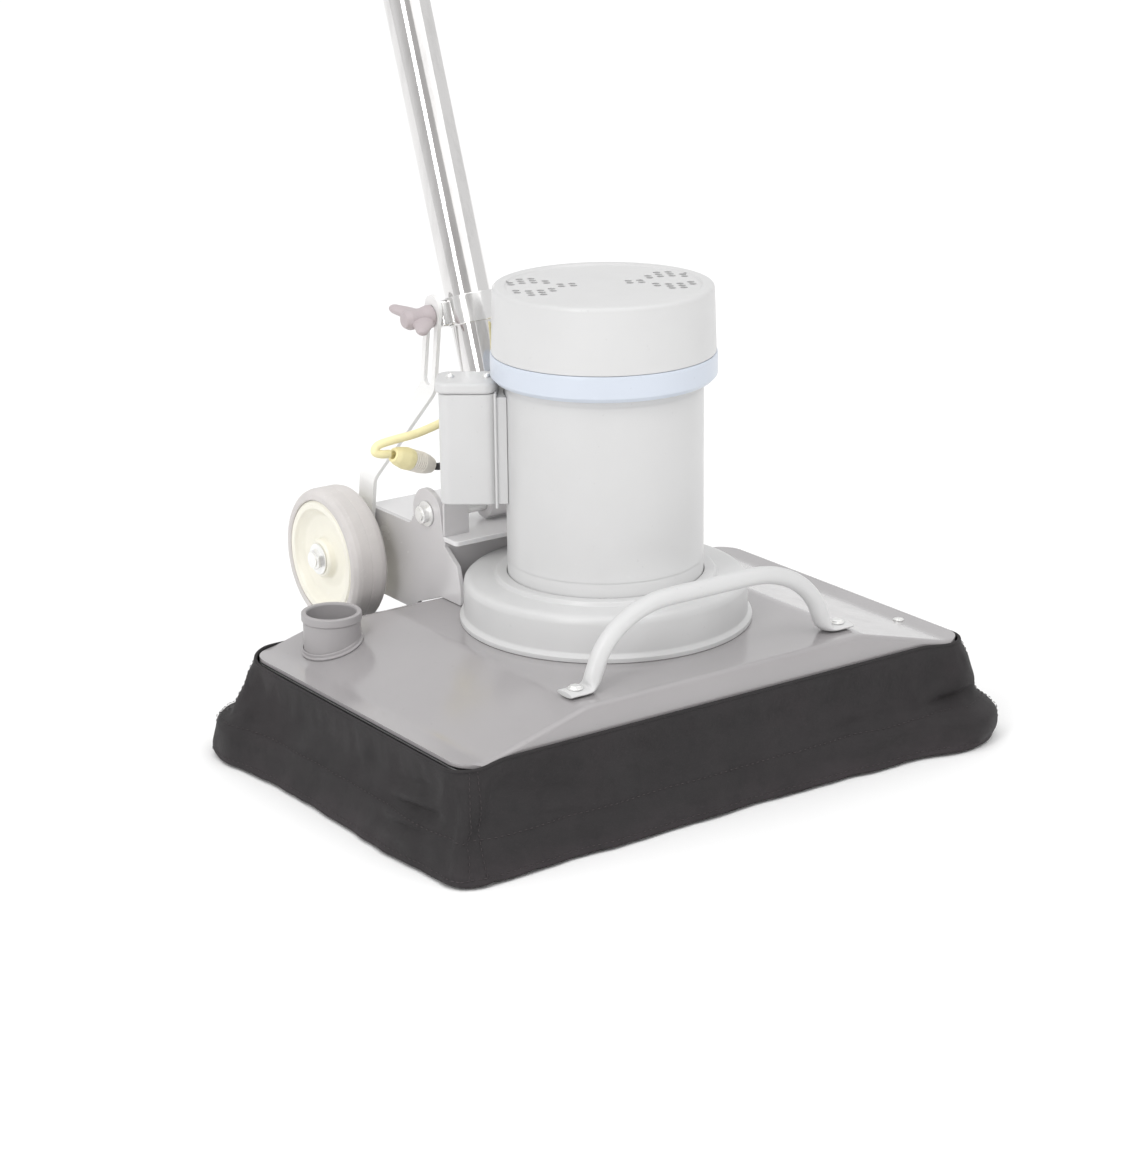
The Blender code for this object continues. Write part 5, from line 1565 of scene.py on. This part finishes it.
def switch_housing():
    low, high, half_x, half_y, wall = 0.895, 0.978, 0.065, 0.042, 0.003
    tall = high - low
    shell = plate(
        "housing_shell", [rounded_rectangle(half_x, tall / 2, 0.014, 8)], 2 * half_y - 0.0002, None,
        at=(0, 0, (low + high) / 2), turn=(QUARTER, 0, 0),
    )
    soften(shell, 0.0045, 4, 50)
    settled(shell)
    hollow = plate(
        "housing_room", [rounded_rectangle(half_x - wall, tall / 2 - wall, 0.011, 6)], 2 * half_y, None,
        at=(0, wall + 0.001, (low + high) / 2), turn=(QUARTER, 0, 0),
    )
    across, upright = (0, QUARTER, 0), (0, 0, 0)
    bores = [
        drill(f"{name}_bore", radius, -half_length, half_length, 40, at, turn)
        for name, radius, half_length, at, turn in (
            ("tube", 0.0193, 0.02, (0, 0, low), upright), ("bar", 0.0130, 0.1, (0, 0, BAR_UP), across),
            ("shaft", 0.0045, 0.1, LEVER_AT, across), ("gland", 0.0080, 0.02, (*GLAND_AT, low), upright),
        )
    ]
    cut(shell, hollow, *bores)
    shell.data.materials.append(LOOKS["black_plastic"])
    even_normals(shell)
    fit(on_handle(shell), "handle", "black_plastic", "switch_housing")
    loops = [rounded_rectangle(half_x - 0.002, tall / 2 - 0.002, 0.012, 8), circle(0, -0.0155, 0.0085)]
    cover = plate(
        "housing_back", loops, 0.0042, at=(0, half_y + 0.0024, (low + high) / 2), turn=(QUARTER, 0, 0)
    )
    soften(cover, 0.0012, 3, 50)
    ribs = []
    for i in range(5):
        rib = plate(
            f"back_rib_{i}", [rounded_rectangle(0.0300, 0.0011, 0.0010, 3)], 0.0016,
            at=(0, half_y + 0.0050, 0.9440 + 0.0052 * i), turn=(QUARTER, 0, 0),
        )
        ribs.append(soften(rib, 0.0004, 2, 50))
    back = joined("housing_back_cover", "black_plastic", cover, *ribs)
    fit(on_handle(back), "handle", "black_plastic", "housing_cover")
    for index, (sx, up) in enumerate(((-1, 0.9045), (1, 0.9045), (-1, 0.9685), (1, 0.9685))):
        screw = domed_bolt(
            f"cover_screw_{index}", (sx * 0.0550, half_y + 0.0046, up), 0.0034, "zinc",
            (-QUARTER, 0, 0),
        )
        fit(on_handle(screw), "handle", "zinc")
    gland_ribs = []
    for k in range(5):
        z = -0.0030 - 0.0024 * k
        r = 0.0105 - 0.0006 * k
        gland_ribs += [
            (r, z, 0.0003), (r, z - 0.0014, 0.0003), (r - 0.0016, z - 0.0014, 0.0002),
            (r - 0.0016, z - 0.0024, 0.0002),
        ]
    gland = turned(
        "gland_boot",
        [
            (0.0075, 0.0045), (0.0075, -0.0003), (0.0110, -0.0003), (0.0110, -0.0026), *gland_ribs,
            (0.0048, -0.0150), (0.0048, 0.0045),
        ],
        "black_plastic", 48, (*GLAND_AT, low), corner=0.0004,
    )
    fit(on_handle(gland), "handle", "black_plastic", "cord_gland")
    button = turned(
        "lock_cap",
        [
            (0, 0.0086), (0.0030, 0.0088, 0.001), (0.0064, 0.0090, 0.0012), (0.0078, 0.0074, 0.0010),
            (0.0078, -0.0046), (0.0110, -0.0048), (0.0110, -0.0068), (0, -0.0068),
        ],
        "red_plastic", 56, (0, half_y + 0.0045, 0.921), (-QUARTER, 0, 0), 0.0004,
    )
    fit(on_handle(button), "lock", "red_plastic", "lock_button")


def handlebar():
    half = [(0.070, 0.0), (0.084, 0.0015), (0.098, 0.0065), (0.112, 0.0130), (0.212, 0.0620)]
    path = [(-x, y, BAR_UP) for x, y in reversed(half)] + [(x, y, BAR_UP) for x, y in half]
    straight = [Vector(p) for p in path]
    route = smooth_route(straight[1:-1], 8)
    route = [straight[0], *route, straight[-1]]
    bar = sweep("bar_tube", route, lambda point: (0.0127, 0.0127), "steel", 40)
    fit(on_handle(bar), "handle", "steel", "handlebar")
    sweep_angle = math.atan2(half[4][1] - half[3][1], half[4][0] - half[3][0])
    length = 0.1125
    for name, sx in (("left", -1), ("right", 1)):
        ribs = []
        for k in range(22):
            z = 0.0100 + 0.0042 * k
            ribs += [
                (0.0163, z, 0.0006), (0.0163, z + 0.0026, 0.0006), (0.0153, z + 0.0031, 0.0004),
                (0.0153, z + 0.0040, 0.0004),
            ]
        grip = turned(
            "grip_sleeve_" + name,
            [
                (0, length + 0.003), (0.0130, length + 0.003, 0.003), (0.0166, length - 0.001, 0.003),
                (0.0163, length - 0.008), *reversed(ribs), (0.0158, 0.0080), (0.0185, 0.0040, 0.0012),
                (0.0185, 0.0, 0.0010), (0.0130, 0.0), (0.0130, length), (0, length),
            ],
            "black_rubber", 64, (sx * half[3][0], half[3][1], BAR_UP),
            (0, QUARTER, sweep_angle if sx > 0 else math.pi - sweep_angle), 0.0004,
        )
        fit(on_handle(grip), "handle", "black_rubber", "grip_" + name)


def triggers():
    shaft = drill("lever_shaft", 0.0040, -0.0860, 0.0860, 40, turn=(0, QUARTER, 0))
    outline = [
        (0.0670, -0.0070), (0.0860, -0.0070), (0.0980, 0.0130), (0.1150, 0.0330), (0.2000, 0.0750),
        (0.1985, 0.0835), (0.1940, 0.0900), (0.1060, 0.0470), (0.0800, 0.0230), (0.0670, 0.0070),
    ]
    blades = []
    for index, sx in enumerate((-1, 1)):
        smooth = rounded([(x, y, 0.006) for x, y in outline], 0.006, True, 5)
        blade = plate(f"lever_blade_{index}", [[(sx * x, y) for x, y in smooth]], 0.0046)
        blades.append(soften(blade, 0.0018, 4, 50))
    made = joined("squeeze_levers", "red_plastic", shaft, *blades)
    made.data.transform(Matrix.Translation(LEVER_AT))
    fit(on_handle(made), "triggers", "red_plastic", "trigger_bar")


def cord_hooks():
    for name, up in (("lower", 0.560), ("upper", 0.800)):
        reach = 0.038 if name == "lower" else 0.034
        path = [(0, TUBE_R + 0.0012, 0), (0, TUBE_R + 0.010, 0), (0, TUBE_R + 0.018, 0.0)]
        path += [(0, TUBE_R + 0.018 + y, z) for y, z in arc(0, 0.014, 0.014, -68, 0, 4)]
        path += [(0, TUBE_R + 0.0320, reach * 0.65), (0, TUBE_R + 0.0320, reach)]
        flip = -1 if name == "lower" else 1
        route = smooth_route([(x, y, flip * z) for x, y, z in path], 8)

        def size(point):
            end = max(0.0, min(1.0, (abs(point.z) - reach + 0.004) / 0.004))
            fall = math.sqrt(max(0.05, 1 - end * end))
            return 0.0047 * fall, 0.0043 * fall

        arm = sweep(f"hook_arm_{name}", route, size, None, 28)
        band = turned(
            f"hook_clip_{name}",
            [
                (TUBE_R + 0.0035, 0.008, 0.001), (TUBE_R + 0.0035, -0.008, 0.001), (TUBE_R + 0.0003, -0.008),
                (TUBE_R + 0.0003, 0.008),
            ],
            None, 80,
        )
        near, far = TUBE_R + 0.001, TUBE_R + 0.018
        edge = [(near, -0.0065 * flip), (far, -0.0030 * flip), (far, 0.0030 * flip), (near, 0.0065 * flip)]
        gusset = plate(f"hook_gusset_{name}", [edge], 0.0030, turn=FACING_X)
        made = joined(f"hook_{name}", "black_plastic", arm, band, soften(gusset, 0.0006, 2, 50))
        made.data.transform(Matrix.Translation((0, 0, up)))
        fit(on_handle(made), "handle", "black_plastic", f"cord_hook_{name}")


# ---------------------------------------------------------------- under the skirt

def floor_pad():
    """A thick non-woven pad with fuzzy edges."""
    half_x, half_y, low, high = 0.2538, 0.1778, 0.0004, 0.0248
    loop = rounded_rectangle(half_x, half_y, 0.012, 6)
    outline = []
    for a, b in zip(loop, loop[1:] + loop[:1]):
        count = max(1, round((Vector(b) - Vector(a)).length / 0.004))
        outline += [tuple(Vector(a).lerp(Vector(b), i / count)) for i in range(count)]
    points, rings = [], []
    levels = (0.0, 0.15, 0.35, 0.55, 0.75, 0.9, 1.0)
    for level, share in enumerate(levels):
        z = low + (high - low) * share
        ring_points = []
        for x, y in outline:
            here = Vector((x, y, z))
            rough = noise.noise(here * 260.0) * 0.0011 + noise.noise(here * 70.0) * 0.0007
            inset = 0.0009 - min(0.0009, rough) + (0.0012 if share in (0.0, 1.0) else 0.0)
            length = math.hypot(x, y)
            ring_points.append((x - x / length * inset, y - y / length * inset, z))
        rings.append(range(len(points), len(points) + len(outline)))
        points += ring_points
    count = len(outline)
    faces = ring_faces(len(levels), count) + [tuple(rings[0]), tuple(rings[-1])]
    pad = add_object("pad_mat", mesh_from("pad_mat", points, faces), "pad_fibre")
    for polygon in pad.data.polygons:
        if len(polygon.vertices) > 4:
            polygon.use_smooth = False
    fit(pad, "driver", "pad_fibre", "floor_pad")


camera()
world()
floor()
finish_cad_nodes()
lights()
deck()
deck_fittings()
grab_handle()
motor()
capacitor_box()
dust_skirt()
rear_bracket()
wheel("left", -1)
wheel("right", 1)
tilt_strap()
knob()
lower_handle()
leads()
switch_housing()
handlebar()
triggers()
cord_hooks()
floor_pad()
